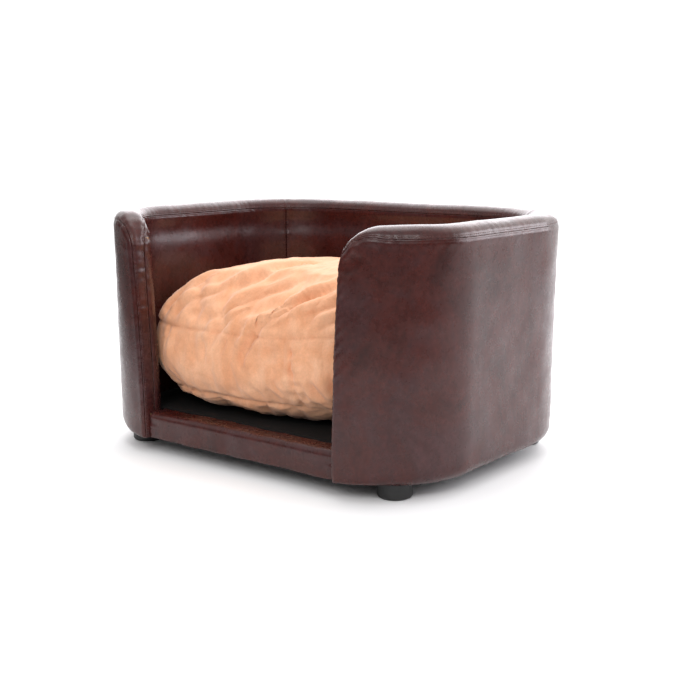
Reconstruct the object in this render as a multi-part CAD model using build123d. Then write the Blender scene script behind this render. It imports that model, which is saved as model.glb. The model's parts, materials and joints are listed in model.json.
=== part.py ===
from build123d import *
import os

# Dog bed with an upholstered frame. Millimetres. X runs across the bed, the open front faces -Y,
# Z is up, and the origin is on the floor under the middle of the bed.

# Overall size
WIDTH = 660.0
DEPTH = 496.0
HEIGHT = 380.0
FOOT_HEIGHT = 23.0

# Padded wall that runs round the sides and back and ends in two arms at the front
WALL = 47.0
FRONT_RADIUS = 142.0
BACK_RADIUS = 162.5
OPENING_WIDTH = 386.0
ARM_CORNER_RADIUS = 60.0
ARM_EDGE_RADIUS = 11.0
RIM_RADIUS = 22.0
BOTTOM_RADIUS = 20.0

# Layers of the wall, counted in from the outer face
LEATHER = 1.2
DUST_FABRIC = 0.6
OUTER_WADDING_END = 5.0
FIBREBOARD = 3.0
CAVITY_START = OUTER_WADDING_END + FIBREBOARD
CAVITY = 25.0
CAVITY_END = CAVITY_START + CAVITY
INNER_FOAM_START = CAVITY_END + FIBREBOARD
GUSSET_START = 13.0
GUSSET_END = 34.0
GUSSET_DROP = 15.0

# Heights above the floor
LEATHER_BOTTOM = FOOT_HEIGHT + DUST_FABRIC
BASE_BOTTOM = LEATHER_BOTTOM + LEATHER
BASE_THICKNESS = 15.0
BASE_TOP = BASE_BOTTOM + BASE_THICKNESS
BOARD_TOP = HEIGHT - 40.0
TOP_RAIL_THICKNESS = 15.0
TOP_RAIL_BOTTOM = BOARD_TOP - TOP_RAIL_THICKNESS
BASE_CHAMFER = 8.0
OUTER_BOARD_BOTTOM = BASE_BOTTOM + BASE_CHAMFER

# Front rail, deck and their timber
RAIL_TOP = 66.0
RAIL_SETBACK = 8.9
RAIL_DEPTH = 41.0
RAIL_RADIUS = 10.0
RAIL_WADDING = 3.0
RAIL_END_GAP = 0.4
DECK_TOP = 65.0
DECK_FABRIC = 1.0
DECK_THICKNESS = 12.0
DECK_GAP = 0.5
BATTEN_WIDTH = 40.0
BATTEN_REACH = 130.0
BATTEN_X = 200.0
ARM_POST_WIDTH = 40.0
ARM_FOAM = 12.0
POST_WIDTH = 45.0
SIDE_POST_Y = (-65.0, 55.0)
BACK_POST_X = 85.0

# Feet
FOOT_RADIUS = 25.5
FOOT_EDGE = 5.0
FOOT_X = 253.0
FOOT_INSET_Y = 66.6
FOOT_RECESS_RADIUS = 8.0
FOOT_RECESS = 13.0

# Fasteners
SCREW_RADIUS = 2.0
SCREW_HEAD_RADIUS = 4.0
SCREW_HEAD = 2.5
FRAME_SCREW = 45.0
RAIL_SCREW = 25.0
RAIL_SCREW_X = 120.0
DECK_SCREW = 22.0
DECK_SCREW_Y = (-90.0, 30.0, 120.0)
FOOT_SCREW = 25.0
ARM_SCREW_INSET = 30.0
STAPLE_WIRE = 0.7
STAPLE_WIDTH = 10.0
STAPLE_LEG = 6.0
STAPLE_INSET = 34.0
STAPLE_SPACING = 48.0

# Cushion
CUSHION_WIDTH = 552.0
CUSHION_FRONT = 55.0
CUSHION_BACK = 436.0
CUSHION_GAP = 0.3
CUSHION_TOP = 293.0
CUSHION_CORNER = 105.0
CUSHION_CROWN_RADIUS = 88.0
CUSHION_BOTTOM_RADIUS = 30.0
CUSHION_FABRIC = 1.0
LOWER_SEAM = 101.0
UPPER_SEAM = 190.0
INNER_CASE_START = 1.6
INNER_CASE_END = 2.2

# Zip on the back of the cushion
ZIP_HEIGHT = 150.0
ZIP_LENGTH = 280.0
ZIP_SLOT_LENGTH = 300.0
ZIP_SLOT_HALF = 6.0
TAPE_WIDTH = 11.4
TAPE_THICKNESS = 0.5
COIL_WIDTH = 1.9
COIL_THICKNESS = 1.6
COIL_GAP = 1.2
STOP_LENGTH = 3.0
STOP_THICKNESS = 2.0
SLIDER_X = 128.0
SLIDER_LENGTH = 12.0
SLIDER_HALF_WIDTH = 4.6
SLIDER_PLATE = 1.1
SLIDER_NECK = 0.6
SLIDER_CLEARANCE = 0.3
SLIDER_FLANGE = 1.6
BRIDGE_HEIGHT = 2.2
BRIDGE_BAR = 1.0
BRIDGE_SPAN = 8.2
BRIDGE_WIDTH = 1.6
PULL_LENGTH = 19.0
PULL_HALF_WIDTH = 3.2
PULL_THICKNESS = 1.0
PULL_WINDOW_HALF = 1.3
PULL_WINDOW_LENGTH = 6.5
PULL_PIN_RADIUS = 0.5

# Values worked out from the ones above
FRONT_Y = -DEPTH / 2
BACK_Y = DEPTH / 2
OPENING_HALF = OPENING_WIDTH / 2
ARM_POST_X = OPENING_HALF + ARM_FOAM
RAIL_FRONT_Y = FRONT_Y + RAIL_SETBACK
RAIL_BACK_Y = RAIL_FRONT_Y + RAIL_DEPTH
RAIL_CORE_FRONT_Y = RAIL_FRONT_Y + LEATHER + RAIL_WADDING
BACK_CORNER_X = WIDTH / 2 - BACK_RADIUS
BACK_CORNER_Y = BACK_Y - BACK_RADIUS
CUSHION_BACK_Y = FRONT_Y + CUSHION_BACK
TAPE_Y = CUSHION_BACK_Y - CUSHION_FABRIC
COIL_TOP_Y = TAPE_Y + COIL_THICKNESS
SLIDER_TOP_Y = COIL_TOP_Y + SLIDER_CLEARANCE + SLIDER_PLATE
SLIDER_BOTTOM_Y = TAPE_Y - TAPE_THICKNESS - SLIDER_CLEARANCE - SLIDER_PLATE
FAR = 1000.0


def block(x, y, z):
    """A box between the given pairs of limits."""
    size = (x[1] - x[0], y[1] - y[0], z[1] - z[0])
    middle = ((x[0] + x[1]) / 2, (y[0] + y[1]) / 2, (z[0] + z[1]) / 2)
    return Pos(*middle) * Box(*size)


def outline(inset):
    """Plan of the bed, drawn in from its outer face."""
    plan = Rectangle(WIDTH - 2 * inset, DEPTH - 2 * inset)
    plan = fillet(plan.vertices().sort_by(Axis.Y)[:2], FRONT_RADIUS - inset)
    return fillet(plan.vertices().sort_by(Axis.Y)[-2:], BACK_RADIUS - inset)


def prism(plan, bottom, top):
    """A plan raised between two heights."""
    return Pos(0, 0, bottom) * extrude(plan, top - bottom)


def ring(start, end, bottom, top):
    """A band of the wall, all the way round the bed."""
    return prism(outline(start) - outline(end), bottom, top)


def opening(half_width, bottom=-FAR, top=FAR):
    """The way in between the arms, straight up."""
    return block((-half_width, half_width), (-FAR, 0), (bottom, top))


def board(start, end, bottom, top):
    """A layer of the wall that stops at the arm posts."""
    return ring(start, end, bottom, top) - opening(ARM_POST_X)


def outer_board():
    """Bent fibreboard on the outer side of the posts, from the base's planed edge to the top rail."""
    return board(OUTER_WADDING_END, CAVITY_START, OUTER_BOARD_BOTTOM, BOARD_TOP) - base_board()


def arm_profile(inset):
    """The way in as seen from the front, with the arms' rounded upper corners."""
    half = OPENING_HALF + inset
    corner_x = OPENING_HALF + ARM_CORNER_RADIUS
    corner_z = HEIGHT - ARM_CORNER_RADIUS
    rim = HEIGHT - inset
    with BuildSketch(Plane.XZ) as profile:
        with BuildLine():
            Line((-half, 0), (-half, corner_z))
            RadiusArc((-half, corner_z), (-corner_x, rim), inset - ARM_CORNER_RADIUS)
            Line((-corner_x, rim), (-corner_x, FAR))
            Line((-corner_x, FAR), (corner_x, FAR))
            Line((corner_x, FAR), (corner_x, rim))
            RadiusArc((corner_x, rim), (half, corner_z), inset - ARM_CORNER_RADIUS)
            Line((half, corner_z), (half, 0))
            Line((half, 0), (-half, 0))
        make_face()
    return Pos(0, FRONT_Y + 2 * WALL, 0) * extrude(profile.sketch, 3 * WALL)


def rounded_arm_plan(inset):
    """Plan of the wall with its two ends rounded."""
    way_in = Pos(0, FRONT_Y) * Rectangle(OPENING_WIDTH, 4 * WALL)
    plan = outline(0) - outline(WALL) - way_in
    return offset(offset(plan, -ARM_EDGE_RADIUS), ARM_EDGE_RADIUS - inset)


def wall_form(inset):
    """The padded wall as a whole, drawn in by a layer's thickness."""
    solid = ring(inset, WALL - inset, LEATHER_BOTTOM + inset, HEIGHT - inset)
    rims = solid.faces().sort_by(Axis.Z)[-1].edges()
    solid = fillet(rims, RIM_RADIUS - inset)
    hem = solid.faces().sort_by(Axis.Z)[0].outer_wire().edges()
    solid = fillet(hem, BOTTOM_RADIUS - inset)
    return (solid - arm_profile(inset)) & prism(rounded_arm_plan(inset), 0, HEIGHT)


def timber_screw(x, y, head_z, length, direction=1):
    """A countersunk screw with its head flush at head_z, pointing up (1) or down (-1)."""
    standing = (Align.CENTER, Align.CENTER, Align.MIN)
    head = Cone(SCREW_HEAD_RADIUS, SCREW_RADIUS, SCREW_HEAD, align=standing)
    shank = Cylinder(SCREW_RADIUS, length, align=standing)
    screw = head + shank
    if direction < 0:
        screw = Rot(180, 0, 0) * screw
    return Pos(x, y, head_z) * screw


def base_board():
    """Plywood floor of the frame, its lower edge planed off to follow the rounded hem."""
    panel = prism(outline(CAVITY_START), BASE_BOTTOM, BASE_TOP)
    panel = chamfer(panel.faces().sort_by(Axis.Z)[0].outer_wire().edges(), BASE_CHAMFER)
    return panel - block((-ARM_POST_X, ARM_POST_X), (-FAR, RAIL_CORE_FRONT_Y), (0, FAR))


def post_places():
    """Middle and turn of each wall post, in plan."""
    middle = CAVITY_START + CAVITY / 2
    side_x = WIDTH / 2 - middle
    back_y = BACK_Y - middle
    corner = (BACK_RADIUS - middle) * 2**-0.5
    places = [(sign * side_x, y, 90) for sign in (-1, 1) for y in SIDE_POST_Y]
    places += [(sign * (BACK_CORNER_X + corner), BACK_CORNER_Y + corner, -45 * sign) for sign in (-1, 1)]
    places += [(sign * BACK_POST_X, back_y, 0) for sign in (-1, 1)]
    return places


def wall_posts():
    """Softwood posts that hold the top rail up off the base."""
    cavity = ring(CAVITY_START, CAVITY_END, BASE_TOP, TOP_RAIL_BOTTOM)
    height = TOP_RAIL_BOTTOM - BASE_TOP
    blank = Box(POST_WIDTH, 2 * CAVITY, height)
    middle = BASE_TOP + height / 2
    return [cavity & (Pos(x, y, middle) * Rot(0, 0, turn) * blank) for x, y, turn in post_places()]


def arm_posts():
    """The upright that ends each arm."""
    cavity = ring(CAVITY_START, CAVITY_END, BASE_TOP, TOP_RAIL_BOTTOM)
    reach = (ARM_POST_X, ARM_POST_X + ARM_POST_WIDTH)
    mirrored = (-reach[1], -reach[0])
    return [cavity & block(x, (-FAR, 0), (0, FAR)) for x in (mirrored, reach)]


def top_rail():
    """Plywood rim that ties the posts together under the padding."""
    return board(CAVITY_START, CAVITY_END, TOP_RAIL_BOTTOM, BOARD_TOP)


def front_rail():
    """Timber across the front of the base, between the arms."""
    core = LEATHER + RAIL_WADDING
    half = OPENING_HALF - core
    return block((-half, half), (RAIL_CORE_FRONT_Y, RAIL_BACK_Y - core), (BASE_TOP, RAIL_TOP - core))


def deck_plan():
    """Plan of the deck inside the padded wall and behind the front rail."""
    front = Pos(0, RAIL_BACK_Y + DECK_GAP - FAR / 2) * Rectangle(WIDTH, FAR)
    return outline(WALL + DECK_GAP) - front


def deck_board():
    """Plywood deck that carries the cushion."""
    top = DECK_TOP - DECK_FABRIC
    return prism(deck_plan(), top - DECK_THICKNESS, top)


def deck_fabric():
    """Black cloth over the deck."""
    return prism(deck_plan(), DECK_TOP - DECK_FABRIC, DECK_TOP)


def batten_places():
    """Sideways positions of the battens under the deck."""
    return [-BATTEN_X, 0, BATTEN_X]


def deck_battens():
    """Battens that carry the deck above the base."""
    top = DECK_TOP - DECK_FABRIC - DECK_THICKNESS
    half = BATTEN_WIDTH / 2
    reach = (-BATTEN_REACH, BATTEN_REACH + half)
    return [block((x - half, x + half), reach, (BASE_TOP, top)) for x in batten_places()]


def frame_screws():
    """Screws from the base and the top rail into the posts, and from the base into the front rail."""
    arm_x = ARM_POST_X + ARM_POST_WIDTH / 2
    arm_y = FRONT_Y + ARM_SCREW_INSET
    places = [(x, y) for x, y, turn in post_places()]
    places += [(sign * arm_x, arm_y) for sign in (-1, 1)]
    screws = [timber_screw(x, y, BASE_BOTTOM, FRAME_SCREW) for x, y in places]
    screws += [timber_screw(x, y, BOARD_TOP, FRAME_SCREW, -1) for x, y in places]
    rail_y = (RAIL_CORE_FRONT_Y + RAIL_BACK_Y - RAIL_WADDING - LEATHER) / 2
    for x in (-RAIL_SCREW_X, 0, RAIL_SCREW_X):
        screws.append(timber_screw(x, rail_y, BASE_BOTTOM, RAIL_SCREW))
    return screws


def deck_screws():
    """Screws that hold the deck to its battens."""
    top = DECK_TOP - DECK_FABRIC
    return [timber_screw(x, y, top, DECK_SCREW, -1) for x in batten_places() for y in DECK_SCREW_Y]


def outer_wadding(inside):
    """Thin wadding over the outside of the wall."""
    return (inside & ring(0, CAVITY_START, 0, BOARD_TOP)) - opening(ARM_POST_X)


def inner_padding(inside):
    """Foam over the inside of the wall, before it is cut into its three sheets."""
    return (inside & ring(INNER_FOAM_START, WALL, BASE_TOP, BOARD_TOP)) - opening(ARM_POST_X)


def back_sector():
    """The space in front of and behind the back panel, between the middles of the back corners."""
    reach = FAR / 2
    corners = [
        (-BACK_CORNER_X, BACK_CORNER_Y),
        (BACK_CORNER_X, BACK_CORNER_Y),
        (BACK_CORNER_X + reach, BACK_CORNER_Y + reach),
        (-BACK_CORNER_X - reach, BACK_CORNER_Y + reach),
    ]
    return prism(make_face(Polyline(*corners, close=True)), 0, HEIGHT)


def left_back_right(solid):
    """Cut a layer of the wall into its left, back and right pieces."""
    back = solid & back_sector()
    sides = solid - back_sector()
    left = sides & block((-FAR, 0), (-FAR, FAR), (0, FAR))
    right = sides & block((0, FAR), (-FAR, FAR), (0, FAR))
    return left, back, right


def gusset_zone():
    """Where the strip of leather along the rim and down the arm ends lies."""
    corner_z = HEIGHT - ARM_CORNER_RADIUS
    band = ring(GUSSET_START, GUSSET_END, BASE_BOTTOM, HEIGHT)
    upright = band & opening(ARM_POST_X, 0, corner_z)
    corner = band & opening(OPENING_HALF + ARM_CORNER_RADIUS, corner_z, HEIGHT)
    rim = ring(0, WALL, HEIGHT - GUSSET_DROP, HEIGHT)
    return upright + corner + rim


def rail_section(inset):
    """Section of the covered front rail, drawn in by a layer's thickness."""
    y = (RAIL_FRONT_Y + inset, RAIL_BACK_Y - inset)
    half = OPENING_HALF - RAIL_END_GAP - inset
    body = block((-half, half), y, (LEATHER_BOTTOM + inset, RAIL_TOP - inset))
    top = body.faces().sort_by(Axis.Z)[-1].edges().filter_by(Axis.X)
    return fillet(top, RAIL_RADIUS - inset)


def rail_cover():
    """Leather wrapped over the front rail and turned under the base."""
    behind = block((-FAR, FAR), (RAIL_CORE_FRONT_Y, FAR), (BASE_BOTTOM, BASE_TOP))
    return rail_section(0) - rail_section(LEATHER) - behind


def rail_wadding():
    """Wadding between the rail's timber and its leather."""
    under = block((-FAR, FAR), (RAIL_CORE_FRONT_Y, FAR), (0, BASE_TOP))
    return rail_section(LEATHER) - front_rail() - under


def dust_cover():
    """Black cloth closing the underside."""
    plan = outline(BOTTOM_RADIUS) - Pos(0, RAIL_FRONT_Y - FAR / 2) * Rectangle(OPENING_WIDTH, FAR)
    return prism(plan, FOOT_HEIGHT, LEATHER_BOTTOM)


def foot_places():
    """The four feet, by name."""
    y = DEPTH / 2 - FOOT_INSET_Y
    return {
        "foot_front_left": (-FOOT_X, -y),
        "foot_front_right": (FOOT_X, -y),
        "foot_back_left": (-FOOT_X, y),
        "foot_back_right": (FOOT_X, y),
    }


def foot():
    """Round moulded foot with a deep recess for its screw."""
    disc = Cylinder(FOOT_RADIUS, FOOT_HEIGHT, align=(Align.CENTER, Align.CENTER, Align.MIN))
    disc = fillet(disc.faces().sort_by(Axis.Z)[0].edges(), FOOT_EDGE)
    recess = Cylinder(FOOT_RECESS_RADIUS, FOOT_RECESS, align=(Align.CENTER, Align.CENTER, Align.MIN))
    return disc - recess


def foot_screws():
    """The screw through each foot into the base."""
    return [timber_screw(x, y, FOOT_RECESS, FOOT_SCREW) for x, y in foot_places().values()]


def staple(place, direction):
    """A staple with its crown flat under the base and along the hem."""
    half = STAPLE_WIDTH / 2
    wire_span = (-STAPLE_WIRE / 2, STAPLE_WIRE / 2)
    crown = block((-half, half), wire_span, (-STAPLE_WIRE, 0))
    leg = block(wire_span, wire_span, (0, STAPLE_LEG))
    reach = half - STAPLE_WIRE / 2
    wire = crown + Pos(-reach, 0, 0) * leg + Pos(reach, 0, 0) * leg
    return Plane(origin=(place.X, place.Y, FOOT_HEIGHT), x_dir=direction, z_dir=(0, 0, 1)) * wire


def cover_staples():
    """Staples that hold the leather and the dust cover to the base, all the way round."""
    hem = outline(STAPLE_INSET).face().outer_wire()
    count = int(hem.length / STAPLE_SPACING)
    steps = [(step + 0.5) / count for step in range(count)]
    feet = [Vector(x, y) for x, y in foot_places().values()]
    staples = []
    for step in steps:
        place = hem.position_at(step)
        if min((place - near).length for near in feet) > FOOT_RADIUS + STAPLE_WIDTH:
            staples.append(staple(place, hem.tangent_at(step)))
    return staples


def cushion_form(inset):
    """The whole cushion, drawn in by a layer's thickness."""
    front = FRONT_Y + CUSHION_FRONT + inset
    back = CUSHION_BACK_Y - inset
    bottom = DECK_TOP + CUSHION_GAP + inset
    plan = RectangleRounded(CUSHION_WIDTH - 2 * inset, back - front, CUSHION_CORNER - inset)
    solid = Pos(0, (front + back) / 2, 0) * prism(plan, bottom, CUSHION_TOP - inset)
    solid = fillet(solid.faces().sort_by(Axis.Z)[-1].edges(), CUSHION_CROWN_RADIUS - inset)
    return fillet(solid.faces().sort_by(Axis.Z)[0].edges(), CUSHION_BOTTOM_RADIUS - inset)


def zip_box(half_length, y, below, above):
    """A box along the zip, with its heights counted from the zip's middle."""
    return block((-half_length, half_length), y, (ZIP_HEIGHT + below, ZIP_HEIGHT + above))


def cushion_cover():
    """The cushion's loose cover as its top, boxing and bottom panels."""
    shell = cushion_form(0) - cushion_form(CUSHION_FABRIC)
    slot = zip_box(ZIP_SLOT_LENGTH / 2, (0, FAR), -ZIP_SLOT_HALF, ZIP_SLOT_HALF)
    wide = (-FAR, FAR)
    top = shell & block(wide, wide, (UPPER_SEAM, FAR))
    boxing = (shell & block(wide, wide, (LOWER_SEAM, UPPER_SEAM))) - slot
    bottom = shell & block(wide, wide, (0, LOWER_SEAM))
    return top, boxing, bottom


def zip_groove(lining):
    """Dent in the filling behind the zip, where the slider's inner plate runs."""
    half_length = ZIP_SLOT_LENGTH / 2 + lining
    half_width = SLIDER_HALF_WIDTH + 2 * SLIDER_CLEARANCE + lining
    inner_y = SLIDER_BOTTOM_Y - SLIDER_CLEARANCE - lining
    return zip_box(half_length, (inner_y, FAR), -half_width, half_width)


def cushion_inside():
    """The inner case and the fibre filling it holds."""
    case = cushion_form(INNER_CASE_START) - zip_groove(0)
    filling = cushion_form(INNER_CASE_END) - zip_groove(INNER_CASE_END - INNER_CASE_START)
    return case - filling, filling


def zip_tapes():
    """The two woven tapes, one above the coil and one below."""
    half = ZIP_SLOT_LENGTH / 2
    y = (TAPE_Y - TAPE_THICKNESS, TAPE_Y)
    inner = COIL_GAP / 2
    return [zip_box(half, y, inner, inner + TAPE_WIDTH), zip_box(half, y, -inner - TAPE_WIDTH, -inner)]


def zip_coil():
    """The two rows of the zip's coil."""
    half = ZIP_LENGTH / 2
    y = (TAPE_Y, COIL_TOP_Y)
    inner = COIL_GAP / 2
    return [zip_box(half, y, inner, inner + COIL_WIDTH), zip_box(half, y, -inner - COIL_WIDTH, -inner)]


def zip_stops():
    """The metal stop at each end of the coil."""
    start = ZIP_LENGTH / 2
    reach = COIL_GAP / 2 + COIL_WIDTH
    spans = ((start, start + STOP_LENGTH), (-start - STOP_LENGTH, -start))
    y = (TAPE_Y, TAPE_Y + STOP_THICKNESS)
    return [block(x, y, (ZIP_HEIGHT - reach, ZIP_HEIGHT + reach)) for x in spans]


def slider_part(half_length, y, below, above):
    """A box of the slider at its place, closed end of the zip."""
    return Pos(SLIDER_X, 0, 0) * zip_box(half_length, y, below, above)


def zip_slider():
    """Slider: two plates joined by a neck, with side flanges and a bridge for the pull."""
    half = SLIDER_LENGTH / 2
    width = SLIDER_HALF_WIDTH
    upper = slider_part(half, (SLIDER_TOP_Y - SLIDER_PLATE, SLIDER_TOP_Y), -width, width)
    lower = slider_part(half, (SLIDER_BOTTOM_Y, SLIDER_BOTTOM_Y + SLIDER_PLATE), -width, width)
    neck = slider_part(half / 4, (SLIDER_BOTTOM_Y, SLIDER_TOP_Y), -SLIDER_NECK / 2, SLIDER_NECK / 2)
    flange_y = (TAPE_Y + SLIDER_CLEARANCE, SLIDER_TOP_Y)
    flanges = slider_part(half, flange_y, width - SLIDER_FLANGE, width)
    flanges += slider_part(half, flange_y, -width, SLIDER_FLANGE - width)
    bridge_y = (SLIDER_TOP_Y, SLIDER_TOP_Y + BRIDGE_HEIGHT + BRIDGE_BAR)
    bridge = slider_part(BRIDGE_SPAN / 2, bridge_y, -BRIDGE_WIDTH / 2, BRIDGE_WIDTH / 2)
    gap_y = (SLIDER_TOP_Y, SLIDER_TOP_Y + BRIDGE_HEIGHT)
    gap = slider_part(BRIDGE_SPAN / 2 - BRIDGE_BAR, gap_y, -BRIDGE_WIDTH, BRIDGE_WIDTH)
    return upper + lower + neck + flanges + (bridge - gap)


def zip_pull():
    """Pull tab hung on the slider's bridge."""
    y = SLIDER_TOP_Y + BRIDGE_HEIGHT / 2
    thickness = (y - PULL_THICKNESS / 2, y + PULL_THICKNESS / 2)
    height = (ZIP_HEIGHT - PULL_HALF_WIDTH, ZIP_HEIGHT + PULL_HALF_WIDTH)
    tab = block((SLIDER_X - PULL_LENGTH, SLIDER_X), thickness, height)
    window_z = (ZIP_HEIGHT - PULL_WINDOW_HALF, ZIP_HEIGHT + PULL_WINDOW_HALF)
    window = block((SLIDER_X - PULL_WINDOW_LENGTH, FAR), (0, FAR), window_z)
    pin = Pos(SLIDER_X, y, ZIP_HEIGHT) * Cylinder(PULL_PIN_RADIUS, 2 * PULL_HALF_WIDTH)
    return (tab - window) + pin


def frame_parts():
    """Timber, boards and their screws."""
    screws = frame_screws()
    feet_screws = foot_screws()
    deck_fixings = deck_screws()
    return {
        "base_board": base_board() - screws - feet_screws,
        "wall_posts": [post - screws for post in wall_posts()],
        "arm_posts": [post - screws - feet_screws for post in arm_posts()],
        "top_rail": top_rail() - screws,
        "outer_board": outer_board(),
        "inner_board": board(CAVITY_END, INNER_FOAM_START, BASE_TOP, BOARD_TOP),
        "front_rail": front_rail() - screws,
        "deck_board": deck_board() - deck_fixings,
        "deck_battens": [batten - deck_fixings for batten in deck_battens()],
        "frame_screws": screws,
        "deck_screws": deck_fixings,
        "foot_screws": feet_screws,
    }


def padding_parts():
    """Wadding and foam between the boards and the leather."""
    inside = wall_form(LEATHER)
    solid_base = base_board()
    boards = board(OUTER_WADDING_END, CAVITY_START, OUTER_BOARD_BOTTOM, BOARD_TOP)
    left, back, right = left_back_right(inner_padding(inside))
    ends = (inside & opening(ARM_POST_X, 0, BOARD_TOP)) - solid_base
    return {
        "outer_wadding": outer_wadding(inside) - boards - solid_base,
        "inner_foam_left": left,
        "inner_foam_back": back,
        "inner_foam_right": right,
        "rim_foam": inside & block((-FAR, FAR), (-FAR, FAR), (BOARD_TOP, FAR)),
        "arm_end_foam": ends,
        "rail_wadding": rail_wadding(),
    }


def cover_parts():
    """Leather and cloth that close the frame."""
    skin = wall_form(0) - wall_form(LEATHER) - base_board()
    gusset = skin & gusset_zone()
    panels = skin - gusset_zone()
    outer = panels & (ring(0, GUSSET_END, 0, HEIGHT) + ring(0, WALL, 0, BASE_BOTTOM))
    inner = panels & ring(GUSSET_END, WALL, BASE_BOTTOM, HEIGHT)
    left, back, right = left_back_right(inner)
    feet_screws = foot_screws()
    return {
        "outer_cover": outer - feet_screws,
        "rim_strip": gusset,
        "inner_cover_left": left,
        "inner_cover_back": back,
        "inner_cover_right": right,
        "rail_cover": rail_cover(),
        "deck_fabric": deck_fabric(),
        "dust_cover": dust_cover() - feet_screws,
        "cover_staples": cover_staples(),
    }


def foot_parts():
    """The four feet in their places."""
    blank = foot() - [timber_screw(0, 0, FOOT_RECESS, FOOT_SCREW)]
    return {name: Pos(x, y, 0) * blank for name, (x, y) in foot_places().items()}


def cushion_parts():
    """The loose cushion with its zip."""
    top, boxing, bottom = cushion_cover()
    case, filling = cushion_inside()
    return {
        "cushion_top_panel": top,
        "cushion_boxing": boxing,
        "cushion_bottom_panel": bottom,
        "cushion_inner_case": case,
        "cushion_filling": filling,
        "zip_tapes": zip_tapes(),
        "zip_coil": zip_coil(),
        "zip_stops": zip_stops(),
        "zip_slider": zip_slider(),
        "zip_pull": zip_pull(),
    }


def write(name, shape):
    """Write one node, as one solid or as a group of separate ones."""
    solids = ShapeList(shape).solids() if isinstance(shape, list) else shape.solids()
    whole = solids[0] if len(solids) == 1 else Compound(children=list(solids))
    export_step(whole, f"parts/{name}.step")


def main():
    os.makedirs("parts", exist_ok=True)
    groups = (frame_parts, padding_parts, cover_parts, foot_parts, cushion_parts)
    for group in groups:
        for name, shape in group().items():
            write(name, shape)


if __name__ == "__main__":
    main()
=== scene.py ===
import json
import math

import bpy
import numpy as np
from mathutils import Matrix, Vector

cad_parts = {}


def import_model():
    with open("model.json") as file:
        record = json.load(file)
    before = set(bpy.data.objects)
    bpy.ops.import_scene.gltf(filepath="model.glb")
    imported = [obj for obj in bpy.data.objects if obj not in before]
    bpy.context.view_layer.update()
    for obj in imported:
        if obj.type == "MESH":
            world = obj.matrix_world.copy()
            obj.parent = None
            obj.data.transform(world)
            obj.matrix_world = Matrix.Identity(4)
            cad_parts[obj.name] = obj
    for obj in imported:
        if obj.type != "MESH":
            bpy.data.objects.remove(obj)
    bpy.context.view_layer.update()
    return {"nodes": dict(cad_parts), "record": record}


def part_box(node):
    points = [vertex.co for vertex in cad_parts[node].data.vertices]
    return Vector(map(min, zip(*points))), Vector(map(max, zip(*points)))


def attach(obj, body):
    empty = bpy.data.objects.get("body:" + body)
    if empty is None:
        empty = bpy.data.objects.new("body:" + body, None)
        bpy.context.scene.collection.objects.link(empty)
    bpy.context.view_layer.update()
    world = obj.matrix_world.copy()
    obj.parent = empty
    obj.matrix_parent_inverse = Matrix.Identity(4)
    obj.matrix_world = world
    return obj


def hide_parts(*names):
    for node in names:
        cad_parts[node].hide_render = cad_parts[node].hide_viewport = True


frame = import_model()

# Metres, in the row frame: X across the bed, the open front faces -Y, the floor is Z = 0.
# Along the wall, s runs from the left arm's end round the back to the right arm's end.

# Driving sizes of the frame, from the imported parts
COVER_LOW, COVER_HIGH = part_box("outer_cover")
HALF_WIDTH = COVER_HIGH.x
BACK_Y = COVER_HIGH.y
FRONT_Y = -BACK_Y
HEM_Z = COVER_LOW.z
RIM_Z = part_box("rim_strip")[1].z
DECK_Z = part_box("deck_fabric")[1].z
RAIL_LOW, RAIL_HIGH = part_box("rail_cover")
ZIP_LOW, ZIP_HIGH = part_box("zip_tapes")

# Plan of the wall
MILLIMETRE = 0.001
WALL = 0.047
FRONT_RADIUS = 0.142
BACK_RADIUS = 0.1625
OPENING_HALF = 0.193
FLARE_FOOT = -0.001
FLARE_RIM = 0.003

# Side view of the arms
CORNER_RADIUS = 0.060
CORNER_Z = RIM_Z - CORNER_RADIUS
LEAN_FOOT = -0.0045
LEAN_LINEAR = 0.0085
LEAN_SQUARE = 0.142
RIM_SOFTENING = 11
TOP_SOFTENING = 20

# Rounding of the wall's edges: at the arm ends and along the rim
OUTER_EDGE = (0.006, 0.024)
INNER_EDGE = (0.025, 0.0215)
OUTER_SEAM_ANGLE = (math.radians(55), math.radians(19))
INNER_SEAM_ANGLE = (math.radians(86), math.radians(19))
HEM_RADIUS = (0.004, 0.020)
TURN_UNDER = 0.018

# Seams
SEAM_DEPTH = 0.0010
SEAM_WIDTH = 0.0010
SEAM_PUFF = 0.0007
SEAM_PUFF_AT = 0.0065
SEAM_PUFF_WIDTH = 0.005
FLAT_RIM_SEAM = 0.75
FLAT_RIM_PUCKERS = 0.6
STITCH_LENGTH = 0.0034
STITCH_PITCH = 0.0047
STITCH_RADIUS = 0.00042
STITCH_FROM_SEAM = 0.0034
STITCH_DENT = 0.0004
STITCH_DENT_WIDTH = 0.0009

# Steps between mesh lines: beside a seam, and away from it
FINE_STEP = 0.0009
COARSE_STEP = 0.0042

# Drag folds in the leather at the arms' upper front corners
DRAG_RING = 0.052
DRAG_RING_WIDTH = 0.020
DRAG_SEED = {True: 2.0, False: 0.6}
DRAG_DEPTH = {True: 0.0011, False: 0.0007}

# Layers, and the soft roll at the top of the inner wall
LEATHER = 0.0012
PAD_THICKNESS = 0.0015
PAD_GAP = 0.0045
PAD_SEAM_GAP = 0.0045
PAD_SEAM_REACH = 0.009
PAD_STEP = 3
PAD_MARGIN = 6
INNER_ROLL = 0.0042
INNER_ROLL_AT = 0.027
INNER_ROLL_REACH = 0.020

# Front rail
RAIL_TURN = 0.010
RAIL_HEM = 0.003
RAIL_UNDER = 0.022
RAIL_END_TUCK = 0.0035

# Cloth
CLOTH_FOLD = 0.012
CLOTH_PROUD = 0.0012

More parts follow.
